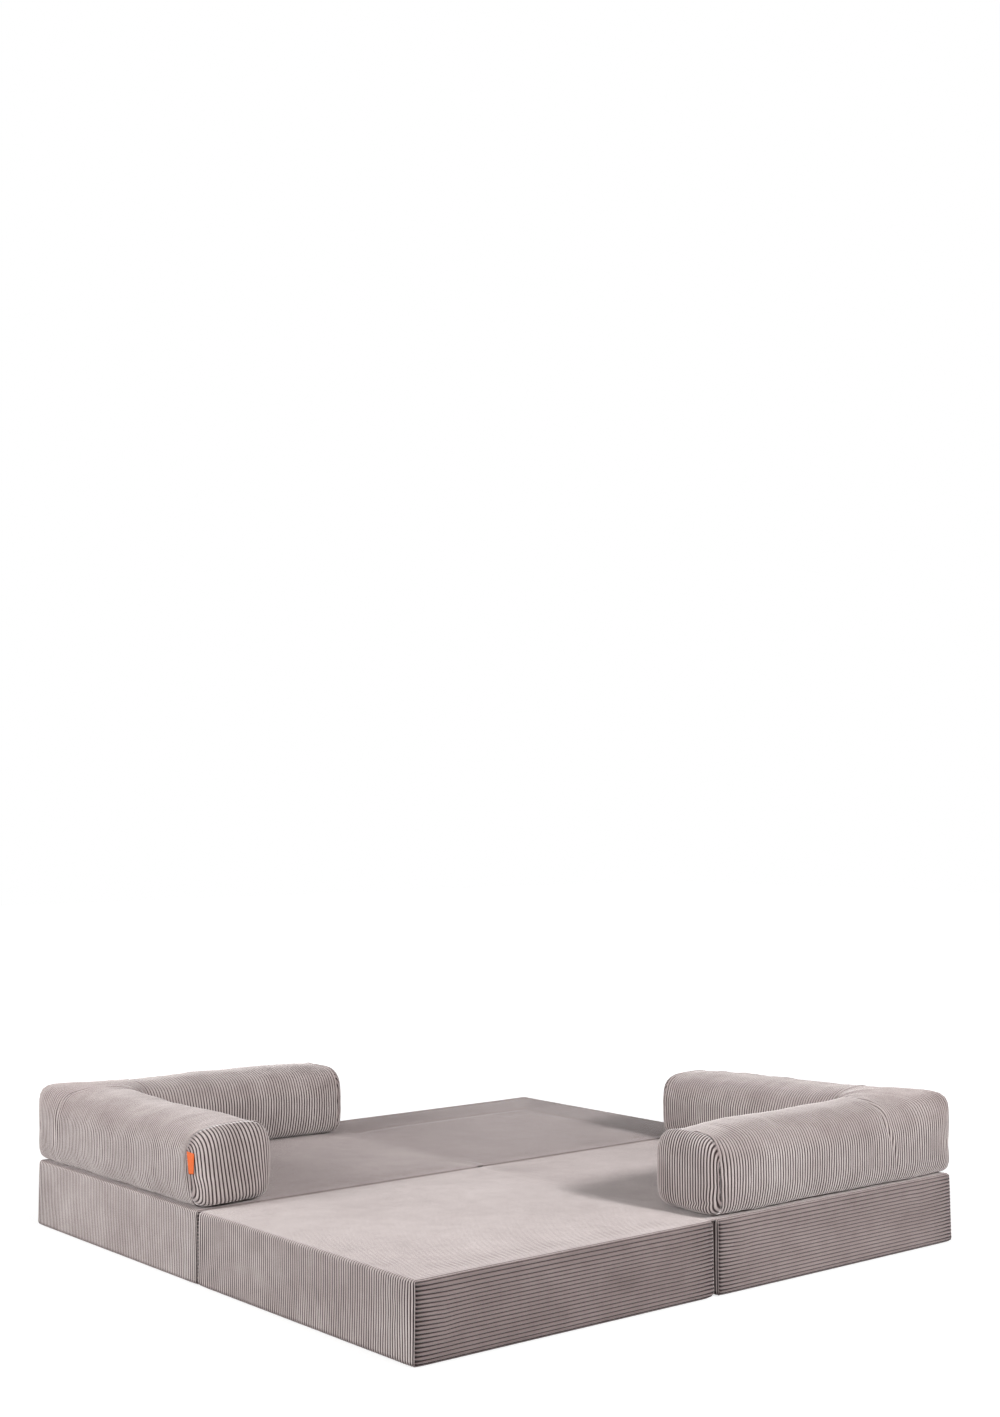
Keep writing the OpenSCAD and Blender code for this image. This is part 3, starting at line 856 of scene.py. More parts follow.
# The fold arm runs from the fold to the corner, and the side arm on from there to the other unit
ARM_START = 0.020
ARM_LOW = 0.1543
ARM_WIDTH = 0.189
ARM_HEIGHT = 0.180
BOLSTER_MIDDLE = 0.24
# Height of the top at even places, from the fold arm's end round the corner to the side arm's end
TOPS = {
    "left": (
        0.320, 0.329, 0.330, 0.331, 0.330, 0.332, 0.335,
        0.331, 0.327, 0.325, 0.325, 0.325, 0.320,
    ),
    "right": (
        0.315, 0.3245, 0.3255, 0.3255, 0.327, 0.333, 0.339,
        0.336, 0.331, 0.327, 0.324, 0.3205, 0.312,
    ),
}
BASE_FLAT = 0.0015
# The turn: where it starts, its gathered inner crease, and its outer corner's squareness and radius
TURN = 0.558
TURN_CREASE = 0.004
TURN_SHOULDER = 6.0
TURN_ROUND = 0.006
# The arms' ends: where they are drawn in, and how long and deep they roll in to the cap's seam
END_DRAW = 0.030
SEAM_ROLL = 0.005
SEAM_DEEP = 0.007
# Size of the cloth before it swells, and how far it may
SLACK = 0.985
BOLSTER_SWELL = 0.006
# Points round and along: of the cloth that is drawn, and of the coarse one that swells
RING_COUNT = 56
RINGS_SOFT = 48
STATIONS_SOFT = 120
# Zip's recess in the underside: half its width and its depth
BASE_ZIP = (0.0122, 0.0043)

ARM_LENGTH = TURN - ARM_START
corner_run = ARM_WIDTH + TURN_CREASE - TURN_ROUND
TURN_LENGTH = 2 * corner_run + math.pi / 2 * TURN_ROUND
BOLSTER_LENGTH = 2 * ARM_LENGTH + TURN_LENGTH
BOLSTER_WALES = round(BOLSTER_LENGTH / WALE)


def running_length(first, second):
    """Length along a line up to each of its points."""
    return np.concatenate([[0], np.cumsum(np.hypot(np.diff(first), np.diff(second)))])


def arm_section(shares, shoulder=3.6):
    """Outline of an arm, (across from its inner side, up), at shares of its girth from its base."""
    angle = np.radians(np.linspace(-90, 270, 4001))
    low, outer = np.sin(angle) < 0, np.cos(angle) > 0
    square = np.where(low, np.where(outer, 8.0, 5.0), np.where(outer, shoulder, 3.6))
    across, up = (np.sign(v) * np.abs(v) ** (2 / square) for v in (np.cos(angle), np.sin(angle)))
    half = np.where(low, ARM_HEIGHT / 2 + BASE_FLAT, ARM_HEIGHT / 2)
    across, up = ARM_WIDTH / 2 * (1 + across), np.maximum(ARM_HEIGHT / 2 + half * up, 0)
    run = running_length(across, up)
    at = np.asarray(shares) * run[-1]
    return np.stack([np.interp(at, run, across), np.interp(at, run, up)], -1), run[-1]


def turn_point(run):
    """Point of the outer corner, from the turning point, so far round it from the fold arm."""
    if run < corner_run:
        return run, corner_run + TURN_ROUND
    if run > TURN_LENGTH - corner_run:
        return corner_run + TURN_ROUND, TURN_LENGTH - run
    angle = math.pi / 2 - (run - corner_run) / TURN_ROUND
    return corner_run + TURN_ROUND * math.cos(angle), corner_run + TURN_ROUND * math.sin(angle)


def along_bolster(path, shares, size, tall):
    """The arm's outline at places along the bolster's outer side, at its size and height there."""
    sharp = np.exp(-(((path - BOLSTER_LENGTH / 2) / 0.11) ** 4))[:, None, None]
    ring = (1 - sharp) * arm_section(shares)[0] + sharp * arm_section(shares, TURN_SHOULDER)[0]
    size = np.broadcast_to(size, len(path))
    across = ARM_WIDTH / 2 + (ring[..., 0] - ARM_WIDTH / 2) * size[:, None]
    pivot = 0.1 * ARM_HEIGHT
    up = pivot + (ring[..., 1] - pivot) * (size * tall)[:, None]
    points = np.zeros(ring.shape[:2] + (3,))
    for i, run in enumerate(path):
        if run <= ARM_LENGTH:
            points[i, :, 0] = ARM_START + run
            points[i, :, 1] = TURN + TURN_CREASE + across[i]
        elif run >= ARM_LENGTH + TURN_LENGTH:
            points[i, :, 0] = TURN + TURN_CREASE + across[i]
            points[i, :, 1] = ARM_START + BOLSTER_LENGTH - run
        else:
            corner = np.array(turn_point(run - ARM_LENGTH))
            far = np.hypot(*corner)
            out = TURN_CREASE + across[i] * (far - TURN_CREASE) / ARM_WIDTH
            points[i, :, :2] = TURN + out[:, None] * corner / far
    points[..., 2] = ARM_LOW + up
    return points


def end_size(side, path):
    """How far the arms are drawn in towards the seams of their end caps, and how tall they are."""
    off = np.minimum(path, BOLSTER_LENGTH - path)
    rolled = SEAM_DEEP * (1 - np.sqrt(1 - np.clip(1 - off / SEAM_ROLL, 0, 1) ** 2))
    t = np.clip(off / END_DRAW, 0, 1)
    tops = smooth_weights(path / BOLSTER_LENGTH, len(TOPS[side])) @ TOPS[side]
    return 0.994 + 0.006 * t * t * (3 - 2 * t) - rolled, (tops - ARM_LOW) / ARM_HEIGHT


class BolsterForm:
    """A bolster's swollen form: its coarse cloth's moves, drawn smoothly over any finer grid."""

    def __init__(self, side, seed):
        self.side, self.pad = side, BOLSTER_PADS[side]
        self.random = np.random.default_rng(seed)
        path = np.linspace(0, BOLSTER_LENGTH, STATIONS_SOFT)
        # Both ends are closed by rings that get smaller
        caps = np.array([0.05, 0.4, 0.75, 0.93])
        before = -0.024 * (1 - caps**4) ** 0.55
        size, tall = end_size(side, path)
        full = np.concatenate([before, path, BOLSTER_LENGTH - before[::-1]])
        size = np.concatenate([size[0] * caps, size, size[-1] * caps[::-1]])
        tall = np.pad(tall, len(caps), mode="edge")
        start = along_bolster(full, np.arange(RINGS_SOFT) / RINGS_SOFT, SLACK * size, tall)
        count = len(full)
        index = np.arange(count * RINGS_SOFT).reshape(count, RINGS_SOFT)
        after = np.roll(index, -1, axis=1)
        quads = np.stack([index[:-1], index[1:], after[1:], after[:-1]], -1).reshape(-1, 4)
        corners = np.concatenate([quads.reshape(-1), index[0], index[-1]])
        sizes = np.array([4] * len(quads) + [RINGS_SOFT] * 2)
        flat = start.reshape(-1, 3)
        base = np.flatnonzero(flat[:, 2] < ARM_LOW + 0.004)
        moved = flat + self.random.normal(0, 0.0003, flat.shape)
        move = swell(moved, corners, sizes, BOLSTER_SWELL, base).reshape(count, RINGS_SOFT, 3)
        self.move = move[len(caps) : -len(caps)]
        # The tops keep the heights that were measured, so the rise there is shared out downwards
        plain = start[len(caps) : -len(caps), :, 2]
        tops = ARM_LOW + ARM_HEIGHT * tall[len(caps) : -len(caps)]
        rise = (plain + self.move[..., 2]).max(1) - tops
        self.move[..., 2] -= rise[:, None] * np.clip((plain - ARM_LOW) / ARM_HEIGHT, 0, 1)

    def at(self, path, shares, size=None):
        """The form at places along it and round it, whole or drawn in to a size."""
        own, tall = end_size(self.side, path)
        size = SLACK * (own if size is None else np.broadcast_to(size, len(path)))
        form = along_bolster(path, shares, size + (0), tall)
        along = smooth_weights(path / BOLSTER_LENGTH, STATIONS_SOFT)
        around = smooth_weights(shares, RINGS_SOFT, closed=True)
        form = form + np.einsum("ia,abk,jb->ijk", along, self.move, around, optimize=True)
        return self.settled(form)

    def settled(self, form):
        """The form let down on the pad's top."""
        rest = pad_height(self.pad, form[..., 0], form[..., 1]) + 0.0004
        low = np.clip(1 - (form[..., 2] - ARM_LOW) / 0.05, 0, 1) ** 2
        form[..., 2] -= low * np.maximum(ARM_LOW - rest, 0)
        form[..., 2] = np.maximum(form[..., 2], rest)
        return form


def grid_normals(form):
    """Which way a grid of points faces, on the side that its rows and columns give."""
    along, around = np.gradient(form, axis=0), np.gradient(form, axis=1)
    normal = np.cross(along, around)
    return normal / np.maximum(np.linalg.norm(normal, axis=-1, keepdims=True), 1e-12)


# How far at most the seams of the end caps lie behind the ends, on their outer sides, and what
# share of that they do at each height from the end's middle
SEAMS_BACK = {
    ("left", "side"): 0.028,
    ("left", "fold"): 0.006,
    ("right", "side"): -0.006,
    ("right", "fold"): -0.010,
}
SEAM_HEIGHTS = (-0.09, -0.05, -0.015, 0.03, 0.055, 0.09)
SEAM_SHARES = (0.05, 0.35, 0.65, 1, 0.85, 0.25)


def seam_back(side, arm, across, up):
    """How far a cap's seam lies behind the end, at a place across and up from the end's middle."""
    outer = np.clip((across - 0.045) / 0.04, 0, 1)
    height = np.interp(up, SEAM_HEIGHTS, SEAM_SHARES)
    return SEAMS_BACK[side, arm] * outer**2 * (3 - 2 * outer) * height


# Creases at the turn: for each, places along it at the shares of the girth below, and its depth
CREASES = {
    "left": ((0.828, 0.836, 0.850, 0.862, 0.0024), (0.500, 0.512, 0.530, 0.549, 0.0016)),
    "right": ((0.536, 0.506, 0.522, 0.549, 0.0026), (0.905, 0.915, 0.905, 0.894, 0.0016)),
}
CREASE_GIRTH = (0.20, 0.34, 0.50, 0.68)


def crease_depth(side, path, shares):
    """Depth of the turn's creases, each with a low ridge beside it."""
    depth = np.zeros((len(path), len(shares)))
    fade = np.clip((shares - 0.16) / 0.08, 0, 1) * np.clip((0.72 - shares) / 0.1, 0, 1)
    for *places, deep in CREASES[side]:
        line = np.interp(shares, CREASE_GIRTH, places)
        off = (path[:, None] - line[None]) / 0.005
        depth += deep * fade[None] * (np.exp(-(off**2)) - 0.45 * np.exp(-((off - 2.2) ** 2)))
    return depth


def painted_contact_shadow(above):
    """Painted contact shadow, close over the pad that the cloth lies on."""
    return 1 - 0.95 * np.exp(-((np.maximum(above, 0) / 0.0050) ** 2))


def wales_counted(count):
    """The places across each of so many wales where its round is drawn, from valley to valley."""
    return np.array(sorted(k + f for k in range(count) for f in ACROSS_WALE) + [count])


def bolster_cover(side, form):
    """A bolster cover's L-shaped tube, its seam allowances turned in and its cloth closed."""
    panels = Panels()
    counted = wales_counted(BOLSTER_WALES)
    path = counted / BOLSTER_WALES * BOLSTER_LENGTH
    section, girth = arm_section(np.linspace(0, 0.5, 2001))
    zip_edges = np.array([0.006, 0.0118, 0.0126, 0.020]) / girth
    even = np.linspace(0, 1, RING_COUNT + 1)[3:-3]
    foot = np.interp([0.0008, 0.003, 0.006], section[:, 1], np.linspace(0, 0.5, 2001))
    shares = np.unique(np.concatenate([[0], zip_edges, even, foot, 1 - zip_edges, [1]]))
    outer = form.at(path, shares)
    normal = grid_normals(outer)
    centre = outer[:, :-1].mean(1, keepdims=True)
    if ((outer - centre) * normal).sum() < 0:
        normal = -normal

    # Wales get finer towards the inner crease, where the cloth is gathered
    spread = np.ones((len(path), len(shares)))
    turning = (path > ARM_LENGTH) & (path < ARM_LENGTH + TURN_LENGTH)
    radius = np.hypot(outer[..., 0] - TURN, outer[..., 1] - TURN)
    far = np.array([np.hypot(*turn_point(run - ARM_LENGTH)) for run in path[turning]])
    spread[turning] = radius[turning] / far[:, None]
    strength = np.clip((spread - 0.2) / 0.5, 0, 1)
    off_end = np.minimum(path, BOLSTER_LENGTH - path)
    pinch = np.exp(-off_end / 0.010)[:, None] * np.ones((1, len(shares)))
    height = wale_height(counted[:, None], 0.5 * pinch)
    valley = WALE_DEPTH * strength * (1 - height) * (1 + 0.6 * pinch)

    # Unevenness of the stuffing, and puckers at the seams
    at = path / BOLSTER_LENGTH
    uneven = 0.0014 * smooth_noise(form.random, at, shares, 26, 7, closed=True)
    uneven += 0.0007 * smooth_noise(form.random, at, shares, 90, 18, closed=True)
    pucker = smooth_noise(form.random, at, shares, 4, 44, closed=True)
    pucker = 0.0018 * pucker * np.exp(-off_end / 0.014)[:, None]
    depth = valley + uneven + pucker + crease_depth(side, path, shares)
    tape_low, tape_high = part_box(f"{side}_bolster_zip_tape")
    y_near, y_far = sorted(abs(v) for v in (tape_low.y, tape_high.y))
    in_zip = (
        (path[:, None] > ARM_LENGTH + TURN_LENGTH)
        & (np.minimum(shares, 1 - shares) * girth < BASE_ZIP[0])[None]
        & (outer[..., 1] > y_near - 0.001)
        & (outer[..., 1] < y_far + 0.001)
    )
    cloth = outer - normal * np.where(in_zip, 0, depth)[..., None]
    cloth[..., 2] = np.where(in_zip, ARM_LOW + BASE_ZIP[1], cloth[..., 2])
    pad_top = pad_height(form.pad, cloth[..., 0], cloth[..., 1])
    cloth[..., 2] = np.maximum(cloth[..., 2], pad_top + 0.0002)

    # Turned-in seam allowances, and the back of the cloth
    allowance = np.array([0.015, 0.006, 0.002])
    drawn = np.array([0.925, 0.938, 0.948])
    first = form.at(allowance, shares, drawn)
    last = form.at(BOLSTER_LENGTH - allowance[::-1], shares, drawn[::-1])
    back_path = np.linspace(BOLSTER_LENGTH - 0.03, 0.03, 60)
    back = form.at(back_path, shares, 0.958)
    closed = np.concatenate([first, cloth, last, back, first[:1]])
    closed[:, -1] = closed[:, 0]
    for arm, axis in (("fold", 0), ("side", 1)):
        across = closed[..., 1 - axis] - TURN - TURN_CREASE - ARM_WIDTH / 2
        up = closed[..., 2] - BOLSTER_MIDDLE
        near = np.clip(1 - (closed[..., axis] - ARM_START) / 0.06, 0, 1) ** 2
        closed[..., axis] += near * seam_back(side, arm, across, up)
    turned = np.array([0.2, 0.4, 0.6])
    count_all = np.concatenate(
        [-turned[::-1], counted, BOLSTER_WALES + turned, back_path / WALE, [-turned[-1]]]
    )
    # Painted light and shade: the sides' valleys wider and darker, the sides lighter, the whole
    # cover lighter than the pads, and the foot over the pad and the seams darkened
    upright = np.clip((0.285 - closed[..., 2]) / 0.03, 0, 1)
    counted_all = valley_shade_count(count_all[:, None], 0.32 * upright)
    shown = slice(len(allowance), len(allowance) + len(path))
    shades = np.ones(closed.shape[:2])
    shade = 1.10 + 0.07 * smooth_noise(form.random, at, shares, 40, 8, closed=True)
    shade *= (1 + 0.28 * upright[shown]) * painted_contact_shadow(cloth[..., 2] - pad_top - 0.0004)
    shade *= 1 - 0.4 * np.exp(-off_end / 0.0018)[:, None]
    shades[shown] = shade * (1 - 0.35 * pinch * (1 - height))
    panels.add(closed, wale_map(counted_all, (shares * girth)[None]), shades)
    return panels.sewn(f"{side}_bolster_corduroy_cover", BOLSTERS[side])


forms = {}
for seed, side in enumerate(BOLSTERS):
    forms[side] = BolsterForm(side, 31 + seed)
    cover = bolster_cover(side, forms[side])
    cover.data.materials.append(corduroy_finish)
    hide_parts(f"{side}_bolster_cover")
    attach(cover, f"{side}_bolster")

# End caps: a round-cornered panel of corduroy sewn into each end of a bolster, its wales upright
# or a little askew. The filling makes it swell, and its seam puckers.
CAP_WALES = 28
CAP_SWELL = {"fold": 0.029, "side": 0.034}
# Degrees by which the wales of each cap lean
CAP_LEANS = {("left", "side"): 11, ("left", "fold"): 2, ("right", "side"): -3, ("right", "fold"): 0}
# Size of a cap in the tube's end, and how far its edge is tucked in at the seam
CAP_DRAWN = 0.990
CAP_TUCK = 0.0015
# How light each bolster's caps are, raised to make up for their painted valley shade, and
# how wide that painted shade in the valleys shows
CAP_SHADES = {"left": 1.22, "right": 1.34}
CAP_PAINTED_VALLEYS = {"left": 0.22, "right": 0.48}


class CapForm:
    """An end cap's dome inside the tube's end, at places across and up from the end's middle."""

    def __init__(self, arm, form):
        self.side, self.arm = form.side, arm
        place = 0.003 if arm == "fold" else BOLSTER_LENGTH - 0.003
        ring = form.at(np.array([place]), np.linspace(0, 1, 801))[0]
        outline = np.stack([ring[:, 1 if arm == "fold" else 0], ring[:, 2]], -1)
        self.middle = (outline.min(0) + outline.max(0)) / 2
        self.rim = (outline - self.middle) * CAP_DRAWN
        angle = np.arctan2(self.rim[:, 1], self.rim[:, 0])
        order = np.argsort(angle)
        self.angle, self.far = angle[order], np.hypot(*self.rim.T)[order]

    def share(self, across, up):
        """How far out a place is, from 0 in the middle to 1 at the rim."""
        far = np.interp(np.arctan2(up, across), self.angle, self.far, period=2 * math.pi)
        return np.clip(np.hypot(across, up) / far, 0, 1)

    def depth(self, across, up, share=None):
        """How far a place of the dome lies from the end of the pad."""
        share = self.share(across, up) if share is None else share
        tuck = CAP_TUCK * np.clip((share - 0.955) / 0.045, 0, 1) ** 2
        back = seam_back(self.side, self.arm, across, up)
        low = np.clip((-up - 0.02) / 0.05, 0, 1)
        full = 3.2 + 3.0 * np.clip(across / 0.05, 0, 1)
        full = full + low * np.interp(across, [-0.09, -0.02, 0.03, 0.07], [0, 3, 12, 14])
        dome = (CAP_SWELL[self.arm] + back) * (1 - share**full) ** 0.55
        return ARM_START + back - dome + tuck

    def cross(self, count, lean):
        """Places across the dome for a count of wales, their slopes, and both ends at the rim."""
        rim = np.roll(self.rim[:-1], -self.rim[:-1, 0].argmin(), axis=0)
        far = rim[:, 0].argmax()
        ends = rim[[0, far], 0] * 0.9995
        fine = np.sin(np.linspace(-math.pi / 2, math.pi / 2, 1201))
        fine = np.mean(ends) + (ends[1] - ends[0]) / 2 * fine
        run = running_length(fine, self.depth(fine, 0 * fine))
        across = np.interp(np.asarray(count) / CAP_WALES * run[-1], run, fine)
        slope = math.tan(lean) * np.maximum(1 - (across / ends[1]) ** 2, 0)
        bounds = []
        for half in (rim[: far + 1], np.concatenate([rim[far:], rim[:1]])[::-1]):
            up = 0 * across
            for _ in range(4):
                up = np.interp(across + slope * up, np.maximum.accumulate(half[:, 0]), half[:, 1])
            bounds.append(up)
        return across, slope, np.minimum(*bounds), np.maximum(*bounds)


def end_cap(side, arm, form, cap):
    """An end cap's dome of corduroy, closed by a flat face behind its rim."""
    panels = Panels()
    counted = wales_counted(CAP_WALES)
    # The wales are even along the dome, so they look closer where it turns towards its rim
    across, slope, low, high = cap.cross(counted, math.radians(CAP_LEANS[side, arm]))
    upright = np.array([0, 0.008, 0.02, 0.036, 0.06, 0.09])
    upright = np.concatenate([upright, np.linspace(0.13, 0.87, 17), 1 - upright[::-1]])
    up = low[:, None] + (high - low)[:, None] * upright[None]
    across = across[:, None] + slope[:, None] * up
    share = cap.share(across, up)
    share[0] = share[-1] = 1
    share[:, 0] = share[:, -1] = 1
    pinch = np.exp(-(1 - share) / 0.10)
    height = wale_height(counted[:, None], 0.6 * pinch)
    valley = WALE_DEPTH * (1 - height) * (1 + 0.5 * pinch)
    valley *= np.clip((1 - share) / 0.02, 0.25, 1)
    around = ((np.arctan2(up, across) / (2 * math.pi) + 0.25) % 1).ravel()
    pucker = smooth_noise(form.random, np.zeros(1), around, 2, 34, closed=True).reshape(up.shape)
    depth = cap.depth(across, up, share) + 0.0018 * pucker * np.exp(-(1 - share) / 0.08)
    # A fold at the foot of the right-hand cap, where its seam has been caught
    if side == "right" and arm == "fold":
        place = (across - 0.045) / 0.035
        depth += 0.004 * np.exp(-(((up + 0.056 - 0.004 * place) / 0.0035) ** 2) - place**2)
        depth -= 0.003 * np.exp(-(((up + 0.065 - 0.004 * place) / 0.0050) ** 2) - place**2)
    points = np.zeros(up.shape + (3,))
    points[..., 0], points[..., 1] = cap.middle[0] + across, depth
    points[..., 2] = cap.middle[1] + up
    out = grid_normals(points)
    out *= -np.sign(out[len(out) // 2, out.shape[1] // 2, 1])
    points -= out * valley[..., None]
    pad_top = pad_height(form.pad, points[..., 0], points[..., 1])
    points[..., 2] = np.maximum(points[..., 2], pad_top + 0.0006)
    if arm == "fold":
        points = points[..., [1, 0, 2]]
        pad_top = pad_height(form.pad, points[..., 0], points[..., 1])
    at_a, at_b = np.linspace(0, 1, up.shape[0]), np.linspace(0, 1, up.shape[1])
    # Painted shade in the pinched valleys by the rim, where the cap meets the pad and at its seam
    shade = CAP_SHADES[side] + 0.06 * smooth_noise(form.random, at_a, at_b, 9, 5)
    shade *= (1 - 0.3 * pinch * (1 - height)) * painted_contact_shadow(points[..., 2] - pad_top - 0.0006)
    shade *= 1 - 0.4 * np.clip((share - 0.975) / 0.025, 0, 1)
    wales = wale_map(valley_shade_count(counted[:, None] + 300, CAP_PAINTED_VALLEYS[side]), up)
    edge = np.concatenate(
        [points[:-1, 0], points[-1, :-1], points[::-1, -1][:-1], points[0, ::-1][:-1]]
    )
    panels.add(points, wales, shade)
    panels.add(edge, (0.5, 0.0), 1.0, [list(range(len(edge)))])
    return panels.sewn(f"{side}_bolster_{arm}_end_cap", BOLSTERS[side])


cap_forms = {}
for side in BOLSTERS:
    for arm in ("side", "fold"):
        cap_forms[side, arm] = CapForm(arm, forms[side])
        piece = end_cap(side, arm, forms[side], cap_forms[side, arm])
        piece.data.materials.append(corduroy_finish)
        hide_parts(f"{side}_bolster_{arm}_cap")
        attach(piece, f"{side}_bolster")
        if arm == "fold":
            # The fold-end cap gets a mesh of its own
            mirror = BOLSTERS[side]
            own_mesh(piece)

# Bolster fillings and liners: a white cotton bag stuffed with loose polyester fibre in each
# bolster. It is sewn in the bolster's shape and only lies in its cover, so that it can come out.
FIBRE_WHITE = (0.86, 0.86, 0.84, 1)
# How high the liner's and the filling's undersides lie over the base, clear of the zip
INSIDE_LOW = {"liner": 0.0083, "filling": 0.0098}

tufts = {"Scale": 60.0, "Detail": 6.0}
fibre_finish = grained_material(
    "fibre_fill", FIBRE_WHITE, 0.88, (0.3, 0.7), 0.95, "Noise", tufts, bump=(0.6, 0.004)
)
for side, mirror in BOLSTERS.items():
    for node, name, drawn, finish, slot in (
        ("liner", "liner_bag", 0.90, cotton_finish, "cotton_liner"),
        ("filling", "fibre_filling", 0.88, fibre_finish, "fibre_filling"),
    ):
        panels = Panels()
        path = np.linspace(0.018, BOLSTER_LENGTH - 0.018, 90)
        shares = np.linspace(0, 1, 29)
        tube = forms[side].at(path, shares, drawn)
        tube[..., 2] = np.maximum(tube[..., 2], ARM_LOW + INSIDE_LOW[node])
        tube[:, -1] = tube[:, 0]
        panels.add(tube, (0.0, 0.0), 1.0)
        for end in (tube[0][:-1], tube[-1][:-1]):
            panels.add(end, (0.0, 0.0), 1.0, [list(range(len(end)))])
        piece = panels.sewn(f"{side}_bolster_{name}", mirror)
        piece.data.materials.append(finish)
        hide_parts(f"{side}_bolster_{node}")
        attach(piece, f"{side}_bolster")

# Bolster zips: the same woven tape, coil and nickel slider as the pads', sewn into a recess in the
# flat underside of the arm along the side, where they don't show.
for side in BOLSTERS:
    zip_pieces(f"{side}_bolster", f"{side}_bolster", f"{side}_bolster_zip_slider", 2)

# Label tabs: a short folded ribbon of woven orange polyester without lettering, caught in the outer
# side of an end cap's seam and lying on the cap's first wales.
TAB_ORANGE = (0.74, 0.125, 0.012, 1)
TAB_HIGH = 0.046
TAB_LONG = 0.022
TAB_THICK = 0.0010

tab_finish = grained_material(
    "orange_ribbon",
    TAB_ORANGE,
    0.8,
    (0.2, 0.8),
    0.6,
    "Wave",
    {"Scale": 500.0},
    bump=(0.4, 0.0003),
    inputs={"Sheen Weight": 0.05},
)


def label_tab(side, mirror):
    """The tab: out of the seam, then flat on the first wales, its free end a little lifted."""
    cap, panels = cap_forms[side, "side"], Panels()
    along, up = np.linspace(0, 1, 17), np.linspace(-0.5, 0.5, 15)
    lift = np.interp(along, [0, 0.12, 0.3, 0.8, 1], [0.0004, 0.0018, 0.0016, 0.0016, 0.0026])
    front, back = np.zeros((2, len(along), len(up), 3))
    for row, share in enumerate(up):
        high = ARM_LOW + ARM_HEIGHT / 2 - cap.middle[1] + TAB_HIGH * share * (1 - 0.1 * along)
        # The ribbon follows the dome from its rim inwards
        line = cap.rim[:, 0].max() * (1 - 0.4 * np.linspace(0, 1, 600) ** 3)
        line = line[cap.share(line, 0 * line + high[0]) < 0.999]
        deep = cap.depth(line, 0 * line + high[0])
        run = running_length(line, deep)
        at = TAB_LONG * (1 + 0.4 * share) * along
        across, depth = np.interp(at, run, line), np.interp(at, run, deep)
        steps = at + 1e-6 * along
        out = np.stack([-np.gradient(depth, steps), np.gradient(across, steps)], -1)
        out /= np.linalg.norm(out, axis=-1, keepdims=True)
        for layer, off in ((front, lift), (back, lift - TAB_THICK)):
            layer[:, row, 0] = cap.middle[0] + across + out[:, 0] * off
            layer[:, row, 1] = depth + out[:, 1] * off
            layer[:, row, 2] = cap.middle[1] + high
    panels.add(front, (0, 0), 1)
    panels.add(back, (0, 0), 1)
    panels.add_rim(front, back, (0, 0), 1)
    tab = panels.sewn(f"{side}_bolster_ribbon_tab", mirror)
    tab.data.materials.append(tab_finish)
    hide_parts(f"{side}_bolster_label")
    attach(tab, f"{side}_bolster")


for side, mirror in BOLSTERS.items():
    label_tab(side, mirror)

# Studio floor: a plain pale floor that reads as white a little way off, as in the photo. Only a
# faint shadow is left of it close round the pads.
bpy.ops.object.select_all(action="DESELECT")
bpy.ops.mesh.primitive_plane_add(size=30, location=(0, 0, -0.0005))
floor = bpy.context.object
floor.name = "studio_floor"
floor_finish, tree, shader = new_material("pale_floor")
place = add_node(tree, "ShaderNodeTexCoord").outputs["Object"]
off = add_node(tree, "ShaderNodeVectorMath", {0: place}, operation="LENGTH").outputs["Value"]
glow = add_node(
    tree,
    "ShaderNodeMapRange",
    {"Value": off, "From Min": 1.1, "From Max": 2.6, "To Min": 0.72, "To Max": 1.0},
)
seen = add_node(tree, "ShaderNodeLightPath").outputs["Is Camera Ray"]
strength = maths(tree, "MULTIPLY", glow.outputs["Result"], seen)
set_inputs(
    tree,
    shader,
    {
        "Base Color": (0.4, 0.4, 0.4, 1),
        "Roughness": 0.95,
        "Specular IOR Level": 0.0,
        "Emission Color": (1, 1, 1, 1),
        "Emission Strength": strength,
    },
)
floor.data.materials.append(floor_finish)

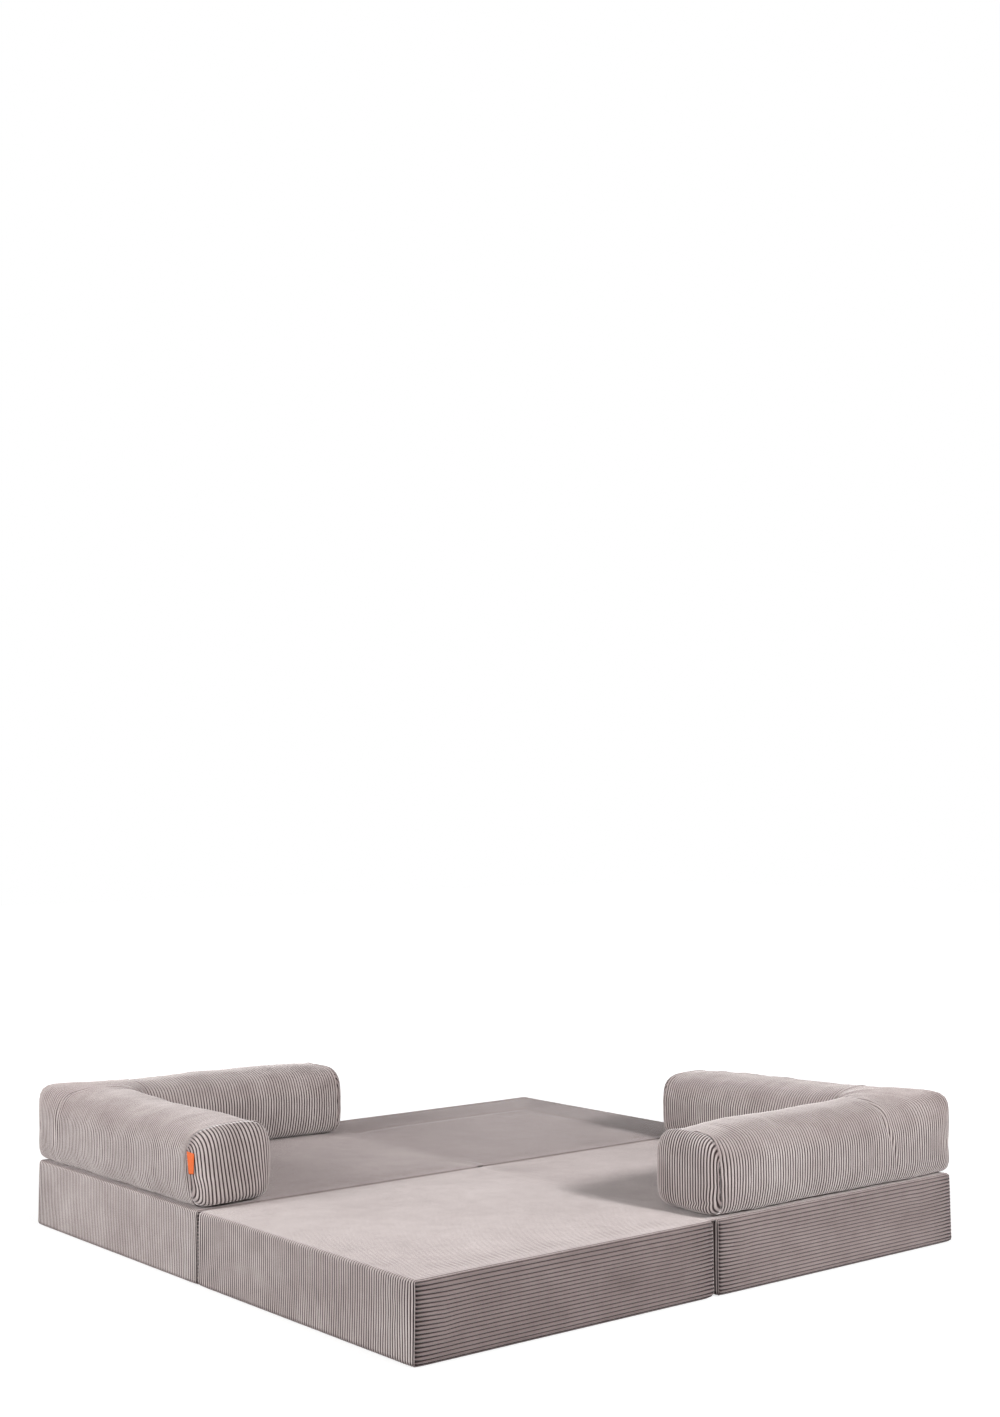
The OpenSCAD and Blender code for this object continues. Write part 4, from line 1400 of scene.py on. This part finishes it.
# Studio light: the strongest comes from the front, a little right, and lays a shadow at the near
# end of the right-hand bolster. Large soft ones fill in from the sides, behind, the camera and
# overhead. Each has its place, size and power.
STUDIO_LIGHTS = {
    "front_light": ((0.6, -4.9, 2.6), 0.7, 228),
    "right_soft_light": ((3.4, -4.2, 2.2), 2.0, 52),
    "left_soft_light": ((-4.5, 0.5, 1.6), 2.0, 172),
    "back_soft_light": ((-3.2, 4.0, 2.0), 2.0, 68),
    "camera_soft_light": ((-3.5, -3.5, 2.4), 2.0, 26),
    "overhead_light": ((0, 0, 3.5), 3.5, 26),
}
for name, (place, size, power) in STUDIO_LIGHTS.items():
    bpy.ops.object.light_add(type="AREA", location=place)
    light = bpy.context.object
    light.name = name
    light.data.size, light.data.energy = size, power
    light.rotation_euler = (Vector((0, 0, 0.1)) - Vector(place)).to_track_quat("-Z", "Y").to_euler()
    light.visible_camera = False
world = bpy.data.worlds.new("studio")
bpy.context.scene.world = world
world.use_nodes = True
seen = add_node(world.node_tree, "ShaderNodeLightPath").outputs["Is Camera Ray"]
glow = {"Value": seen, "To Min": 0.04, "To Max": 1.0}
strength = add_node(world.node_tree, "ShaderNodeMapRange", glow)
set_inputs(
    world.node_tree,
    world.node_tree.nodes["Background"],
    {"Color": (1, 1, 1, 1), "Strength": strength.outputs["Result"]},
)
bpy.context.scene.view_settings.view_transform = "Standard"

# Camera: a moderately long lens a little above seat height, from the front left. Its place, its
# aim and its lens come from a fit on twelve corners of the photo.
CAMERA_PLACE = (-2.716, -3.4246, 0.9715)
CAMERA_LENS = 47.578
CAMERA_YAW, CAMERA_PITCH, CAMERA_ROLL = 50.993, -3.1035, -0.2888

camera_data = bpy.data.cameras.new("camera")
camera = bpy.data.objects.new("camera", camera_data)
bpy.context.scene.collection.objects.link(camera)
bpy.context.scene.camera = camera
camera_data.sensor_fit, camera_data.sensor_width, camera_data.lens = "AUTO", 36, CAMERA_LENS
yaw, pitch, roll = (math.radians(turn) for turn in (CAMERA_YAW, CAMERA_PITCH, CAMERA_ROLL))
level = math.cos(pitch)
ahead = np.array([level * math.cos(yaw), level * math.sin(yaw), -math.sin(pitch)])
right = np.array([math.sin(yaw), -math.cos(yaw), 0])
up = np.cross(right, ahead)
right, up = (
    right * math.cos(roll) + up * math.sin(roll),
    up * math.cos(roll) - right * math.sin(roll),
)
camera.matrix_world = Matrix(
    [[right[i], up[i], -ahead[i], CAMERA_PLACE[i]] for i in range(3)] + [[0, 0, 0, 1]]
)
